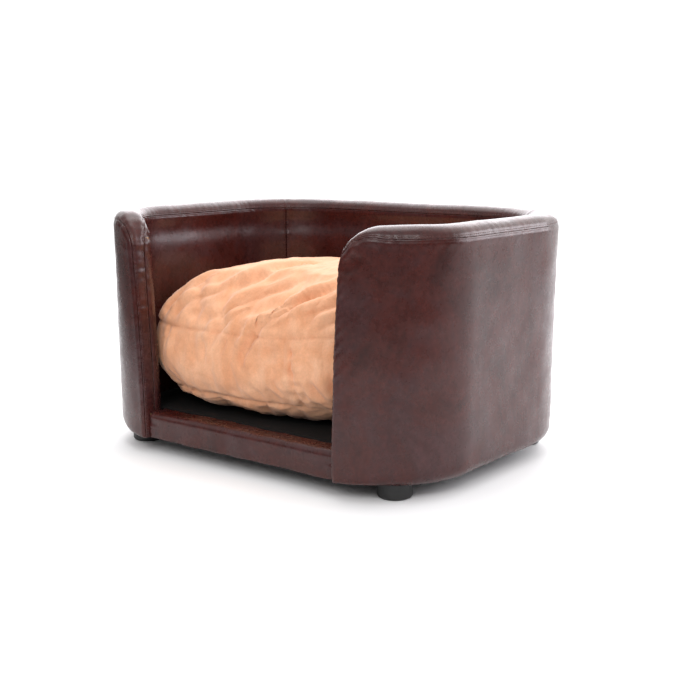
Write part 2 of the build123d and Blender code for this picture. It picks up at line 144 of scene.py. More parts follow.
# Cushion
CUSHION_HALF_X = 0.273
CUSHION_MIDDLE_Y = -0.010
CUSHION_FRONT_REACH = 0.199
CUSHION_BACK_REACH = 0.189
CUSHION_POWER = (3.8, 3.6)
CUSHION_FLOOR = DECK_Z + 0.001
CUSHION_LOWER_SEAM = 0.100
CUSHION_UPPER_SEAM = 0.203
CUSHION_CROWN = 0.281
CUSHION_TURN = math.radians(3.0)
CUSHION_RISE = 0.016
FRONT_TUCK = (0.008, 0.027)
BOXING_JOIN_X = 0.082
CLOTH_FRAMES = 20
CLOTH_CAP = 0.018
SEAM_HOLD = 0.6
ZIP_CLEARANCE = 0.0006
FOLD_STRENGTH = 1.35
TOOTH_PITCH = 0.0026

# Camera and stage
CAMERA_PLACE = (1.1483, -1.4295, 0.5002)
CAMERA_TILT = math.radians(79.249)
CAMERA_TURN = math.radians(38.0)
CAMERA_LENS = 58.62
SENSOR_WIDTH = 36.0
FLOOR_REACH = 7.0
COOL_WHITE = (0.97, 0.94, 1.0)


# ---------------------------------------------------------------- meshes


def mesh_object(name, points, faces):
    """A smooth mesh object from points and faces."""
    mesh = bpy.data.meshes.new(name)
    mesh.from_pydata([tuple(map(float, p)) for p in points], [], faces)
    mesh.update()
    mesh.polygons.foreach_set("use_smooth", [True] * len(mesh.polygons))
    obj = bpy.data.objects.new(name, mesh)
    bpy.context.collection.objects.link(obj)
    return obj


def grid_faces(rows, columns, wrap=False):
    """Quads over a grid of points, row by row."""
    faces = []
    for row in range(rows - 1):
        for column in range(columns if wrap else columns - 1):
            a = row * columns + column
            b = row * columns + (column + 1) % columns
            faces.append((a, b, b + columns, a + columns))
    return faces


def tube_faces(rings, around):
    """Faces of rings of points joined into a tube and closed at both ends."""
    last = (rings - 1) * around
    ends = [tuple(range(around))[::-1], tuple(range(last, last + around))]
    return grid_faces(rings, around, wrap=True) + ends


def joined(parts):
    """Points and faces of many small shapes, as those of one mesh."""
    points, faces = [], []
    for part_points, part_faces in parts:
        base = len(points)
        points += part_points
        faces += [tuple(base + i for i in face) for face in part_faces]
    return points, faces


def outward_normals(grid, outward):
    """Unit normals at the points of a grid, on the side that the outward direction is on."""
    along = np.gradient(grid, axis=0)
    across = np.gradient(grid, axis=1)
    normal = np.cross(along, across)
    normal /= np.linalg.norm(normal, axis=-1, keepdims=True) + 1e-12
    return normal * np.sign(np.sum(normal * outward))


def skin_object(name, grid, normal, thickness):
    """A sheet through a grid of points, with its thickness behind it."""
    rows, columns = grid.shape[:2]
    faces = grid_faces(rows, columns)
    middle = (rows // 2, columns // 2)
    along = grid[middle[0] + 1, middle[1]] - grid[middle]
    across = grid[middle[0], middle[1] + 1] - grid[middle]
    if np.dot(np.cross(across, along), normal[middle]) < 0:
        faces = [face[::-1] for face in faces]
    obj = mesh_object(name, grid.reshape(-1, 3), faces)
    solid = obj.modifiers.new("thickness", "SOLIDIFY")
    solid.thickness = thickness
    solid.offset = -1.0
    apply_modifiers(obj)
    return obj


def ripple(points, wavelength, seed, waves=16):
    """Smooth random height, about -1 to 1, from sine waves in random directions."""
    random = np.random.RandomState(seed)
    total = np.zeros(points.shape[:-1])
    for _ in range(waves):
        direction = random.normal(size=points.shape[-1])
        direction /= np.linalg.norm(direction)
        pitch = wavelength * random.uniform(0.7, 1.5)
        total += np.sin(points @ direction * (2 * math.pi / pitch) + random.uniform(0, 2 * math.pi))
    return total / math.sqrt(waves)


def smoothstep(value, start, end):
    """0 before start, 1 after end, smooth between."""
    t = np.clip((value - start) / (end - start), 0, 1)
    return t * t * (3 - 2 * t)


def bell(offset, width):
    """1 at no offset, dying away smoothly over a width."""
    return np.exp(-((offset / width) ** 2))


def between(pair, share):
    """Value part of the way from the first of a pair to the second."""
    return pair[0] + (pair[1] - pair[0]) * share


def lengths_along(line):
    """Length from the start of a line to each of its points."""
    return np.concatenate([[0], np.cumsum(np.linalg.norm(np.diff(line, axis=0), axis=1))])


def read_off(at, length, values):
    """Rows of values at the given lengths."""
    return np.stack([np.interp(at, length, values[:, k]) for k in range(values.shape[1])], axis=-1)


def resample(line, shares):
    """Points at the given shares of a line's length."""
    length = lengths_along(line)
    return read_off(shares * length[-1], length, line)


def graded(length, fine, coarse, growth=1.22):
    """Shares from 0 to 1 of a length, close together at both ends."""
    half = [0.0]
    step = fine
    while half[-1] < length / 2:
        half.append(half[-1] + step)
        step = min(step * growth, coarse)
    share = np.array(half) / half[-1] / 2
    return np.concatenate([share, 1 - share[::-1][1:]])


def apply_modifiers(obj):
    """Bake the modifiers into the mesh."""
    bpy.context.view_layer.update()
    graph = bpy.context.evaluated_depsgraph_get()
    shaped = obj.evaluated_get(graph)
    mesh = bpy.data.meshes.new_from_object(shaped, preserve_all_data_layers=True, depsgraph=graph)
    obj.modifiers.clear()
    obj.data = mesh
    mesh.polygons.foreach_set("use_smooth", [True] * len(mesh.polygons))


# ---------------------------------------------------------------- shape of the wall

STRAIGHT_FRONT = HALF_WIDTH - FRONT_RADIUS
END_RUN = STRAIGHT_FRONT - OPENING_HALF
FRONT_ARC = FRONT_RADIUS * math.pi / 2
SIDE_RUN = (BACK_Y - BACK_RADIUS) - (FRONT_Y + FRONT_RADIUS)
BACK_ARC = BACK_RADIUS * math.pi / 2
BACK_RUN = 2 * (HALF_WIDTH - BACK_RADIUS)
HALF_LENGTH = END_RUN + FRONT_ARC + SIDE_RUN + BACK_ARC + BACK_RUN / 2
WALL_LENGTH = 2 * HALF_LENGTH
CORNER_SEAM_S = END_RUN + FRONT_ARC + SIDE_RUN + BACK_ARC / 2
CORNER_SEAMS = (CORNER_SEAM_S, WALL_LENGTH - CORNER_SEAM_S)


def plan(s):
    """Point on the outer line of the wall, and the way in from it, at a length from the left arm's end."""
    mirrored = s > HALF_LENGTH
    t = np.where(mirrored, WALL_LENGTH - s, s)
    past_end = t - END_RUN
    past_side = past_end - FRONT_ARC - SIDE_RUN
    front_turn = np.clip(past_end, 0, FRONT_ARC) / FRONT_RADIUS
    back_turn = np.clip(past_side, 0, BACK_ARC) / BACK_RADIUS
    side_run = np.clip(past_end - FRONT_ARC, 0, SIDE_RUN)
    back_run = np.maximum(past_side - BACK_ARC, 0)
    x = -OPENING_HALF - np.minimum(t, END_RUN) - FRONT_RADIUS * np.sin(front_turn)
    x += BACK_RADIUS * (1 - np.cos(back_turn)) + back_run
    y = FRONT_Y + FRONT_RADIUS * (1 - np.cos(front_turn)) + side_run + BACK_RADIUS * np.sin(back_turn)
    heading = front_turn + back_turn
    flip = np.where(mirrored, -1.0, 1.0)
    return x * flip, y, np.sin(heading) * flip, np.cos(heading)


def wall_point(s, z, depth):
    """Point at a length along the wall, a height, and a depth in from its outer face."""
    x, y, nx, ny = plan(s)
    lean_out = between((FLARE_FOOT, FLARE_RIM), (z - HEM_Z) / (RIM_Z - HEM_Z))
    inward = depth - lean_out
    return np.stack([x + nx * inward, y + ny * inward, z], axis=-1)


def arm_edge(z):
    """How far the arm's end stands back from its nominal place, at a height."""
    rise = z - HEM_Z
    return LEAN_FOOT + LEAN_LINEAR * rise + LEAN_SQUARE * rise**2


def hem_radius(s):
    """Rounding of the lower edge: tight at the arm ends, full round the body."""
    near_end = np.minimum(s, WALL_LENGTH - s)
    return between(HEM_RADIUS, smoothstep(near_end, 0.0, 0.10))


def rim_outline(step=0.001):
    """The wall's edge on its unrolled face: up one arm's end, along the top and down the other."""
    corner_s = float(arm_edge(CORNER_Z)) + CORNER_RADIUS
    up = np.arange(HEM_Z - 0.08, CORNER_Z, step)
    turn = np.arange(0, math.pi / 2, step / CORNER_RADIUS)
    along = np.arange(corner_s, HALF_LENGTH, step)
    s = np.concatenate([arm_edge(up), corner_s - CORNER_RADIUS * np.cos(turn), along])
    z = np.concatenate([up, CORNER_Z + CORNER_RADIUS * np.sin(turn), np.full_like(along, RIM_Z)])
    s = np.concatenate([s, WALL_LENGTH - s[::-1]])
    z = np.concatenate([z, z[::-1]])
    kernel = np.hanning(2 * RIM_SOFTENING + 1)
    kernel /= kernel.sum()
    margin = ((RIM_SOFTENING, RIM_SOFTENING), (0, 0))
    padded = np.pad(np.stack([s, z], axis=-1), margin, mode="reflect", reflect_type="odd")
    return np.stack([np.convolve(padded[:, k], kernel, "valid") for k in range(2)], axis=-1)


class Rim:
    """The wall's edge, with the rounding on both sides of it and the place of its seams."""

    def __init__(self):
        line = rim_outline()
        self.line = line
        ahead = np.gradient(line, axis=0)
        ahead /= np.linalg.norm(ahead, axis=1, keepdims=True)
        self.inward = np.stack([ahead[:, 1], -ahead[:, 0]], axis=-1)
        self.length = lengths_along(line)
        near_end = np.minimum(line[:, 0], WALL_LENGTH - line[:, 0])
        top = smoothstep(near_end + (line[:, 1] - CORNER_Z), 0.004, 0.150) * (line[:, 1] > CORNER_Z - 0.02)
        window = np.ones(2 * TOP_SOFTENING + 1) / (2 * TOP_SOFTENING + 1)
        self.top = np.convolve(np.pad(top, TOP_SOFTENING, mode="edge"), window, "valid")
        self.outer_radius = between(OUTER_EDGE, self.top)
        self.inner_radius = between(INNER_EDGE, self.top)
        self.outer_seam = between(OUTER_SEAM_ANGLE, self.top)
        self.inner_seam = between(INNER_SEAM_ANGLE, self.top)
        middle = len(line) // 2
        tilt = self.inward[:middle, 0] + self.inward[:middle, 1]
        self.corner = int(np.argmin(np.abs(tilt)))

    def at(self, length, values):
        """Values of the rim at a length along it."""
        if values.ndim == 1:
            return np.interp(length, self.length, values)
        return read_off(length, self.length, values)

    def length_at_height(self, z):
        """Length along the rim to a height on the left arm's end."""
        arm = slice(self.corner)
        return float(np.interp(z, self.line[arm, 1], self.length[arm]))

    def nearest_top(self, s):
        """Index of the point of the upper edge at a length along the wall."""
        return int(np.argmin(np.abs(self.line[:, 0] - s) + 10 * (self.line[:, 1] < CORNER_Z)))


rim = Rim()


def fold_hem(s, z):
    """Turn the cover's lower edge under the base: height and depth of a point of the flat panel."""
    radius = hem_radius(s)
    start = HEM_Z + radius
    angle = np.clip((start - z) / radius, 0, math.pi / 2)
    beyond = np.maximum(start - radius * math.pi / 2 - z, 0)
    height = np.where(z > start, z, HEM_Z + radius * (1 - np.sin(angle)))
    depth = radius * (1 - np.cos(angle)) + beyond
    return height, depth


def nearest_on(line, points, batch=4000):
    """Index of the nearest point of a line, and the distance to it."""
    flat = points.reshape(-1, 2)
    index = np.zeros(len(flat), int)
    distance = np.zeros(len(flat))
    for start in range(0, len(flat), batch):
        part = slice(start, start + batch)
        gaps = np.linalg.norm(flat[part, None] - line[None], axis=-1)
        index[part] = gaps.argmin(1)
        distance[part] = gaps.min(1)
    return index.reshape(points.shape[:-1]), distance.reshape(points.shape[:-1])


def panel_edges(unrolled, s_from, s_to, z_low):
    """Left, right and upper edge of a panel: on the rim seam at an arm's end, upright elsewhere."""
    at_left_end = s_from <= 0
    at_right_end = s_to >= WALL_LENGTH
    right_corner = len(rim.line) - 1 - rim.corner
    first = rim.corner if at_left_end else rim.nearest_top(s_from)
    last = right_corner if at_right_end else rim.nearest_top(s_to)
    top = unrolled[first : last + 1].copy()
    if not at_left_end:
        top[:, 0] += np.linspace(s_from - top[0, 0], 0, len(top))
    if not at_right_end:
        top[:, 0] += np.linspace(0, s_to - top[-1, 0], len(top))
    left = np.array([[s_from, z_low], [s_from, top[0, 1]]])
    right = np.array([[s_to, z_low], [s_to, top[-1, 1]]])
    if at_left_end:
        left = unrolled[: rim.corner + 1]
        left = left[left[:, 1] >= z_low]
    if at_right_end:
        right = unrolled[right_corner:]
        right = right[right[:, 1] >= z_low][::-1]
    return left, right, top


def unrolled_grid(unrolled, s_from, s_to, z_low):
    """Points over an unrolled panel, close together beside its edges."""
    left, right, top = panel_edges(unrolled, s_from, s_to, z_low)
    columns = graded(lengths_along(top)[-1], FINE_STEP, COARSE_STEP)
    rows = graded(RIM_Z - z_low, FINE_STEP, COARSE_STEP)
    top = resample(top, columns)
    left = resample(left, rows)
    right = resample(right, rows)
    left[-1] = top[0]
    right[-1] = top[-1]
    share = ((top[:, 0] - top[0, 0]) / (top[-1, 0] - top[0, 0]))[:, None]
    bottom = (1 - share) * left[0] + share * right[0]
    return graded_coons(left, right, bottom, top, rows, columns)


def face_panel(radius, seam_angle, s_from, s_to, z_low, inner):
    """Points of a leather panel on one face of the wall, and where each lies from the rim seam."""
    run = radius * seam_angle
    unrolled = rim.line + rim.inward * (radius - run)[:, None]
    flat = unrolled_grid(unrolled, s_from, s_to, z_low)
    index, distance = nearest_on(unrolled, flat)
    r = radius[index]
    reach = run[index]
    angle = np.clip((reach - distance) / r, 0, math.pi / 2)
    on_turn = distance < reach
    turned = rim.line[index] + rim.inward[index] * (r * (1 - np.sin(angle)))[..., None]
    s = np.where(on_turn, turned[..., 0], flat[..., 0])
    z = np.where(on_turn, turned[..., 1], flat[..., 1])
    depth = np.where(on_turn, r * (1 - np.cos(angle)), 0.0)
    if inner:
        return wall_point(s, z, WALL - depth), s, z, distance, rim.top[index]
    height, under = fold_hem(s, z)
    return wall_point(s, height, depth + under), s, z, distance, rim.top[index]


def graded_coons(left, right, bottom, top, rows, columns):
    """Coons patch whose lines follow the given steps."""
    v = rows[:, None, None]
    u = columns[None, :, None]
    sides = (1 - u) * left[:, None] + u * right[:, None]
    ends = (1 - v) * bottom[None] + v * top[None]
    corners = (1 - u) * (1 - v) * bottom[0] + u * (1 - v) * bottom[-1]
    corners = corners + (1 - u) * v * top[0] + u * v * top[-1]
    return sides + ends - corners


def seam_profile(distance, strength=1.0):
    """Height of the leather near a seam: tucked in at it and puffed beside it."""
    tuck = -SEAM_DEPTH * bell(distance, SEAM_WIDTH)
    puff = SEAM_PUFF * bell(distance - SEAM_PUFF_AT, SEAM_PUFF_WIDTH)
    return (tuck + puff) * strength


def stitch_dent(distance):
    """Height of the leather at the row of stitches beside a seam."""
    return -STITCH_DENT * bell(distance - STITCH_FROM_SEAM, STITCH_DENT_WIDTH)


def puckers(along, distance, seed, reach=0.012, height=0.0005):
    """Small gathers across a seam that die away from it."""
    wave = ripple(along[..., None], 0.016, seed, 10)
    return height * wave * np.exp(-distance / reach) * smoothstep(distance, 0.0, 0.002)


def arm_corner_folds(s, z, seed, strength):
    """Drag folds in the leather where it is pulled round an arm's upper front corner."""
    height = np.zeros_like(s)
    for end in (0.0, WALL_LENGTH):
        across = np.abs(s - end) - float(arm_edge(CORNER_Z)) - CORNER_RADIUS
        up = z - CORNER_Z
        radius = np.hypot(across, up) + 1e-6
        angle = np.arctan2(up, -across)
        zone = bell(radius - DRAG_RING, DRAG_RING_WIDTH)
        zone = zone * smoothstep(angle, -0.5, 0.3) * smoothstep(-angle, -2.1, -1.2)
        waves = np.sin(angle * 9 + 1.3 * np.sin(radius * 160 + seed) + seed)
        waves += 0.6 * np.sin(angle * 17 + seed * 2)
        height += strength * zone * waves
    return height


def soften(points):
    """Uneven padding under the leather."""
    return 0.0005 * ripple(points, 0.12, 5) + 0.0002 * ripple(points, 0.045, 6)


def leather_panel(name, node, pad_name, pad_node, radius, seam_angle, s_from, s_to, z_low, inner):
    """One leather panel on a face of the wall, and the padding under it."""
    grid, s, z, distance, on_top = face_panel(radius, seam_angle, s_from, s_to, z_low, inner)
    inward_x, inward_y = plan(s)[2:]
    outward = np.stack([inward_x, inward_y, np.zeros_like(s)], axis=-1) * (1 if inner else -1)
    normal = outward_normals(grid, outward)
    uneven = soften(grid)
    nearest = distance
    height = seam_profile(distance, 1 - FLAT_RIM_SEAM * on_top) + uneven
    height += puckers(s + z, distance, 11) * (distance < 0.05) * (1 - FLAT_RIM_PUCKERS * on_top)
    if inner:
        roll = INNER_ROLL * on_top * bell(distance - INNER_ROLL_AT, INNER_ROLL_REACH)
        height -= roll
        uneven = uneven - roll
        for seam_s in CORNER_SEAMS:
            gap = np.abs(s - seam_s)
            nearest = np.minimum(nearest, gap)
            height += seam_profile(gap) + puckers(z, gap, 12, 0.010, 0.0005)
    height += stitch_dent(nearest) + arm_corner_folds(s, z, DRAG_SEED[inner], DRAG_DEPTH[inner])
    obj = skin_object(name, grid + normal * height[..., None], normal, LEATHER)
    padded_piece(obj, [node], "leather")
    padding(pad_name, [pad_node], grid, normal, uneven, nearest)


def padding(name, nodes, grid, normal, uneven, nearest):
    """The wadding or foam that lies under a piece of leather and follows it."""
    depth = PAD_GAP - uneven + PAD_SEAM_GAP * bell(nearest, PAD_SEAM_REACH)
    kept = slice(PAD_MARGIN, -PAD_MARGIN, PAD_STEP)
    under = (grid - normal * depth[..., None])[kept, kept]
    obj = skin_object(name, under, normal[kept, kept], PAD_THICKNESS)
    padded_piece(obj, nodes, "wadding" if "wadding" in name else "foam")


def gusset_line(lengths, place):
    """Points along the strip at a share of its width: 0 at the outer seam, 1 at the inner seam."""
    line = rim.at(lengths, rim.line)
    inward = rim.at(lengths, rim.inward)
    inward /= np.linalg.norm(inward, axis=-1, keepdims=True)
    outer_r = rim.at(lengths, rim.outer_radius)
    inner_r = rim.at(lengths, rim.inner_radius)
    outer_a = rim.at(lengths, rim.outer_seam)
    inner_a = rim.at(lengths, rim.inner_seam)
    outer_run = outer_r * (math.pi / 2 - outer_a)
    inner_run = inner_r * (math.pi / 2 - inner_a)
    flat_run = WALL - outer_r - inner_r
    total = outer_run + flat_run + inner_run
    at = place * total
    outer_angle = np.clip(outer_a + at / outer_r, 0, math.pi / 2)
    inner_angle = np.clip(math.pi / 2 - (at - outer_run - flat_run) / inner_r, 0, math.pi / 2)
    on_outer = at < outer_run
    on_inner = at > outer_run + flat_run
    back = np.where(on_outer, outer_r * (1 - np.sin(outer_angle)), 0)
    back = np.where(on_inner, inner_r * (1 - np.sin(inner_angle)), back)
    depth = np.where(on_outer, outer_r * (1 - np.cos(outer_angle)), outer_r + at - outer_run)
    depth = np.where(on_inner, WALL - inner_r * (1 - np.cos(inner_angle)), depth)
    flat = line + inward * back[..., None]
    return wall_point(flat[..., 0], flat[..., 1], depth), at, total - at


def gusset_grid():
    """Points over the strip, how far each lies from its two seams, and its normals."""
    start = rim.length_at_height(HEM_Z + 0.001)
    lengths = np.arange(start, rim.length[-1] - start, 0.0026)
    places = graded(0.05, FINE_STEP, 0.0030)
    grid_l, grid_p = np.meshgrid(lengths, places, indexing="ij")
    grid, outer, inner = gusset_line(grid_l, grid_p)
    return grid, grid_l, outer, inner, outward_normals(grid, np.array([0.0, 0.0, 1.0]))


def gusset():
    """The strip of leather along the rim and down both arm ends."""
    grid, grid_l, outer, inner, normal = gusset_grid()
    uneven = soften(grid)
    on_top = rim.at(grid_l, rim.top)
    strength = 1 - FLAT_RIM_SEAM * on_top
    height = seam_profile(outer, strength) + seam_profile(inner, strength) + uneven
    gathers = puckers(grid_l, outer, 21) + puckers(grid_l, inner, 22)
    height += gathers * (1 - FLAT_RIM_PUCKERS * on_top) + stitch_dent(outer) + stitch_dent(inner)
    across = np.minimum(outer, inner)
    nearest = across
    for seam_s in CORNER_SEAMS:
        gap = np.abs(grid_l - float(np.interp(seam_s, rim.line[:, 0], rim.length)))
        height += seam_profile(gap)
        nearest = np.minimum(nearest, gap)
    height += 0.0008 * smoothstep(across, 0, 0.012)
    obj = skin_object("rim_leather", grid + normal * height[..., None], normal, LEATHER)
    padded_piece(obj, ["rim_strip"], "leather")
    padding("rim_foam_pad", ["rim_foam", "arm_end_foam"], grid, normal, uneven, nearest)


# ---------------------------------------------------------------- stitches


def capsule(start, end, up, radius, around=6, rings=5):
    """Points and faces of one short stitch that lies on the leather and dips in at its ends."""
    start, end, up = (np.asarray(v, float) for v in (start, end, up))
    ahead = end - start
    length = np.linalg.norm(ahead)
    ahead /= length
    side = np.cross(ahead, up)
    side /= np.linalg.norm(side) + 1e-12
    points = []
    for share in np.linspace(0, 1, rings):
        arch = math.sin(math.pi * share)
        girth = radius * (0.35 + 0.65 * arch)
        centre = start + ahead * length * share + up * radius * (arch * 0.9 - 0.35)
        for angle in np.arange(around) * (2 * math.pi / around):
            points.append(centre + girth * (math.cos(angle) * side + math.sin(angle) * up))
    return points, tube_faces(rings, around)


def stitch_rows(name, lines):
    """Rows of thread stitches along lines of points with their surface normals."""
    stitches = []
    for line, normals in lines:
        length = lengths_along(line)
        starts = np.arange(0.002, length[-1] - STITCH_LENGTH, STITCH_PITCH)
        firsts = read_off(starts, length, line)
        lasts = read_off(starts + STITCH_LENGTH, length, line)
        ups = read_off(starts, length, normals)
        ups /= np.linalg.norm(ups, axis=1, keepdims=True) + 1e-12
        stitches += [capsule(*ends, STITCH_RADIUS) for ends in zip(firsts, lasts, ups)]
    finish_piece(mesh_object(name, *joined(stitches)), "leather", "bed_frame", thread)


def gusset_stitches():
    """The rows of stitches on both sides of the rim strip."""
    start = rim.length_at_height(HEM_Z + 0.004)
    lengths = np.arange(start, rim.length[-1] - start, 0.002)
    share = STITCH_FROM_SEAM / gusset_line(lengths, np.full_like(lengths, 1.0))[1]
    rows = []
    for place in (share, 1 - share):
        beside = np.stack([gusset_line(lengths, place + step)[0] for step in (-0.01, 0.0, 0.01)], axis=1)
        normal = outward_normals(beside, np.array([0.0, 0.0, 1.0]))[:, 1]
        rows.append((beside[:, 1] + normal * 0.0003, normal))
    stitch_rows("rim_stitches", rows)


def corner_seam_stitches():
    """Two rows of stitches beside each upright seam of the inner cover."""
    rows = []
    z = np.arange(DECK_Z, RIM_Z - 0.017, 0.004)
    step_in = 0.001
    for seam_s in CORNER_SEAMS:
        for side in (-1, 1):
            s = np.full_like(z, seam_s + side * STITCH_FROM_SEAM)
            line = wall_point(s, z, np.full_like(z, WALL))
            inside = wall_point(s, z, np.full_like(z, WALL + step_in))
            normal = (inside - line) / step_in
            rows.append((line + normal * 0.0002, normal))
    stitch_rows("inner_seam_stitches", rows)


# ---------------------------------------------------------------- front rail


def rail_section():
    """Section of the covered rail, from its hem under the base, up the front and down to the deck."""
    front, back = RAIL_LOW.y, RAIL_HIGH.y
    top, hem = RAIL_HIGH.z, RAIL_LOW.z
    section = [(front + RAIL_UNDER, hem)]
    for a in np.linspace(0, math.pi / 2, 5):
        section.append((front + RAIL_HEM * (1 - math.sin(a)), hem + RAIL_HEM * (1 - math.cos(a))))
    turn = [(1 - math.cos(a), 1 - math.sin(a)) for a in np.linspace(0, math.pi / 2, 9)]
    section += [(front + RAIL_TURN * along, top - RAIL_TURN * down) for along, down in turn]
    section += [(back - RAIL_TURN * down, top - RAIL_TURN * along) for along, down in turn]
    section.append((back, DECK_Z - 0.016))
    return resample(np.array(section), graded(0.13, 0.002, 0.003))


def rail():
    """Leather over the front rail, and the wadding under it."""
    section = rail_section()
    half = OPENING_HALF + LEAN_FOOT + 0.0005
    x = (graded(2 * half, 0.001, 0.004) * 2 - 1) * half
    grid = np.empty((len(x), len(section), 3))
    grid[..., 0] = x[:, None]
    grid[..., 1:] = section[None]
    normal = outward_normals(grid, np.array([0.0, -0.5, 1.0]))
    end_gap = half - np.abs(grid[..., 0])
    height = soften(grid) + 0.0004 * ripple(grid * np.array([1, 0.25, 0.25]), 0.05, 31)
    height -= RAIL_END_TUCK * bell(end_gap, 0.0022)
    height += 0.0009 * np.exp(-end_gap / 0.014) * ripple(grid[..., 1:], 0.012, 32)
    obj = skin_object("rail_leather", grid + normal * height[..., None], normal, LEATHER)
    padded_piece(obj, ["rail_cover"], "leather")
    padding("rail_wadding_pad", ["rail_wadding"], grid, normal, soften(grid), end_gap)


# ---------------------------------------------------------------- cloth on the deck and under the base


def cloth_outline(inset, front_limit, count=72):
    """Lower and upper Y of a cloth cut to the bed's plan, at steps across its width."""
    half = HALF_WIDTH - inset
    x = half * np.sin(np.linspace(-math.pi / 2, math.pi / 2, count))
    limits = []
    for full_radius, edge, sign in ((FRONT_RADIUS, FRONT_Y, -1), (BACK_RADIUS, BACK_Y, 1)):
        radius = full_radius - inset
        beyond = np.clip(np.abs(x) - (half - radius), 0, radius)
        limits.append(edge - sign * (inset + radius - np.sqrt(radius**2 - beyond**2)))
    return x, np.maximum(limits[0], front_limit), limits[1]


def stretched_cloth(name, node, up):
    """A thin black cloth stretched over boards, with the small unevenness of stapled cloth."""
    low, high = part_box(node)
    x, y_low, y_high = cloth_outline(HALF_WIDTH - high.x, low.y)
    share = np.linspace(0, 1, 60)
    grid = np.empty((len(x), len(share), 3))
    grid[..., 0] = x[:, None]
    grid[..., 1] = y_low[:, None] + (y_high - y_low)[:, None] * share[None]
    grid[..., 2] = high.z if up else low.z
    if up:
        turned = grid[:, :1] - np.array([0.0, CLOTH_PROUD, 0.0])
        folded = [turned - np.array([0.0, 0.0, drop]) for drop in (CLOTH_FOLD, 0.008, 0.004, 0.001)]
        grid = np.concatenate(folded + [grid], axis=1)
    normal = outward_normals(grid, np.array([0.0, 0.0, 1.0 if up else -1.0]))
    height = 0.0002 * ripple(grid, 0.045, 51) - 0.0003
    obj = skin_object(name, grid + normal * height[..., None], normal, (high.z - low.z) * 0.6)
    spans = y_high - y_low
    area = float(np.sum(np.diff(x) * (spans[1:] + spans[:-1]) / 2))
    length = high.y - low.y
    if up:
        area += 2 * high.x * CLOTH_FOLD
        length += CLOTH_FOLD
    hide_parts(node)
    finish_piece(obj, "black_cloth", "bed_frame")


# ---------------------------------------------------------------- cushion


def cushion_plan(angle):
    """Outline of the cushion at its widest, by angle: a full rounded oblong."""
    c, s = np.cos(angle), np.sin(angle)
    front = s < 0
    power = np.where(front, CUSHION_POWER[0], CUSHION_POWER[1])
    reach = np.where(front, CUSHION_FRONT_REACH, CUSHION_BACK_REACH)
    radius = 1 / (np.abs(c) ** power + np.abs(s) ** power) ** (1 / power)
    return CUSHION_HALF_X * radius * c, reach * radius * s


def cushion_levels():
    """Size and height of the rings of the empty cover: bottom panel, boxing, then the domed top panel."""
    floor, low, high = CUSHION_FLOOR, CUSHION_LOWER_SEAM, CUSHION_UPPER_SEAM
    levels = [(0.02, floor), (0.30, floor), (0.50, floor), (0.64, floor + 0.001), (0.76, floor + 0.006)]
    levels += [(0.86, floor + 0.016), (0.92, low), (0.955, low + 0.018), (0.985, low + 0.045)]
    levels += [(0.997, low + 0.070), (0.993, high - 0.014), (0.978, high)]
    for share in np.linspace(0.07, 1.0, 15):
        angle = share * math.pi / 2
        levels.append((max(0.978 * math.cos(angle) ** 0.9, 0.02), high + (CUSHION_CROWN - high) * math.sin(angle)))
    return levels


def cushion_base(around=220):
    """Closed cushion before it is filled, a little smaller than the finished one."""
    x, y = cushion_plan(np.linspace(0, 2 * math.pi, around, endpoint=False))
    levels = np.array(cushion_levels())
    scales = np.repeat(levels[:, 0], around)
    px = np.tile(x, len(levels)) * scales
    py = np.tile(y, len(levels)) * scales
    z = np.repeat(levels[:, 1], around)
    c, s = math.cos(CUSHION_TURN), math.sin(CUSHION_TURN)
    points = np.stack([c * px - s * py, s * px + c * py, z], axis=-1)
    points[:, 2] += seam_rise(points) * smoothstep(z, CUSHION_FLOOR, CUSHION_UPPER_SEAM)
    tuck = between(FRONT_TUCK, smoothstep(points[:, 0], -0.02, 0.14))
    low_edge = smoothstep(scales, 0.45, 0.90) * (1 - smoothstep(points[:, 2], 0.09, 0.16))
    points[:, 2] += tuck * low_edge * smoothstep(-points[:, 1], -0.04, 0.06)
    points[:, 1] += CUSHION_MIDDLE_Y
    return mesh_object("cushion_cover", points, tube_faces(len(levels), around))


def read_points(obj):
    """The mesh's points as an array."""
    points = np.empty(len(obj.data.vertices) * 3)
    obj.data.vertices.foreach_get("co", points)
    return points.reshape(-1, 3)


def write_points(obj, points):
    """Put an array of points back into the mesh."""
    obj.data.vertices.foreach_set("co", points.ravel())
    obj.data.update()


def read_normals(obj):
    """The mesh's vertex normals as an array."""
    normals = np.empty(len(obj.data.vertices) * 3)
    obj.data.vertex_normals.foreach_get("vector", normals)
    return normals.reshape(-1, 3)


def seam_rise(rest):
    """How much higher than its nominal height a seam lies at each point."""
    return CUSHION_RISE * smoothstep(rest[:, 0], 0.0, 0.20)


def edge_share(rest):
    """Place of each point between the cushion's middle, 0, and its rim, about 1, in plan."""
    reach = np.where(rest[:, 1] < CUSHION_MIDDLE_Y, CUSHION_FRONT_REACH, CUSHION_BACK_REACH)
    across = np.abs(rest[:, 0]) / CUSHION_HALF_X
    along = np.abs(rest[:, 1] - CUSHION_MIDDLE_Y) / reach
    return (across**3.6 + along**3.6) ** (1 / 3.6)


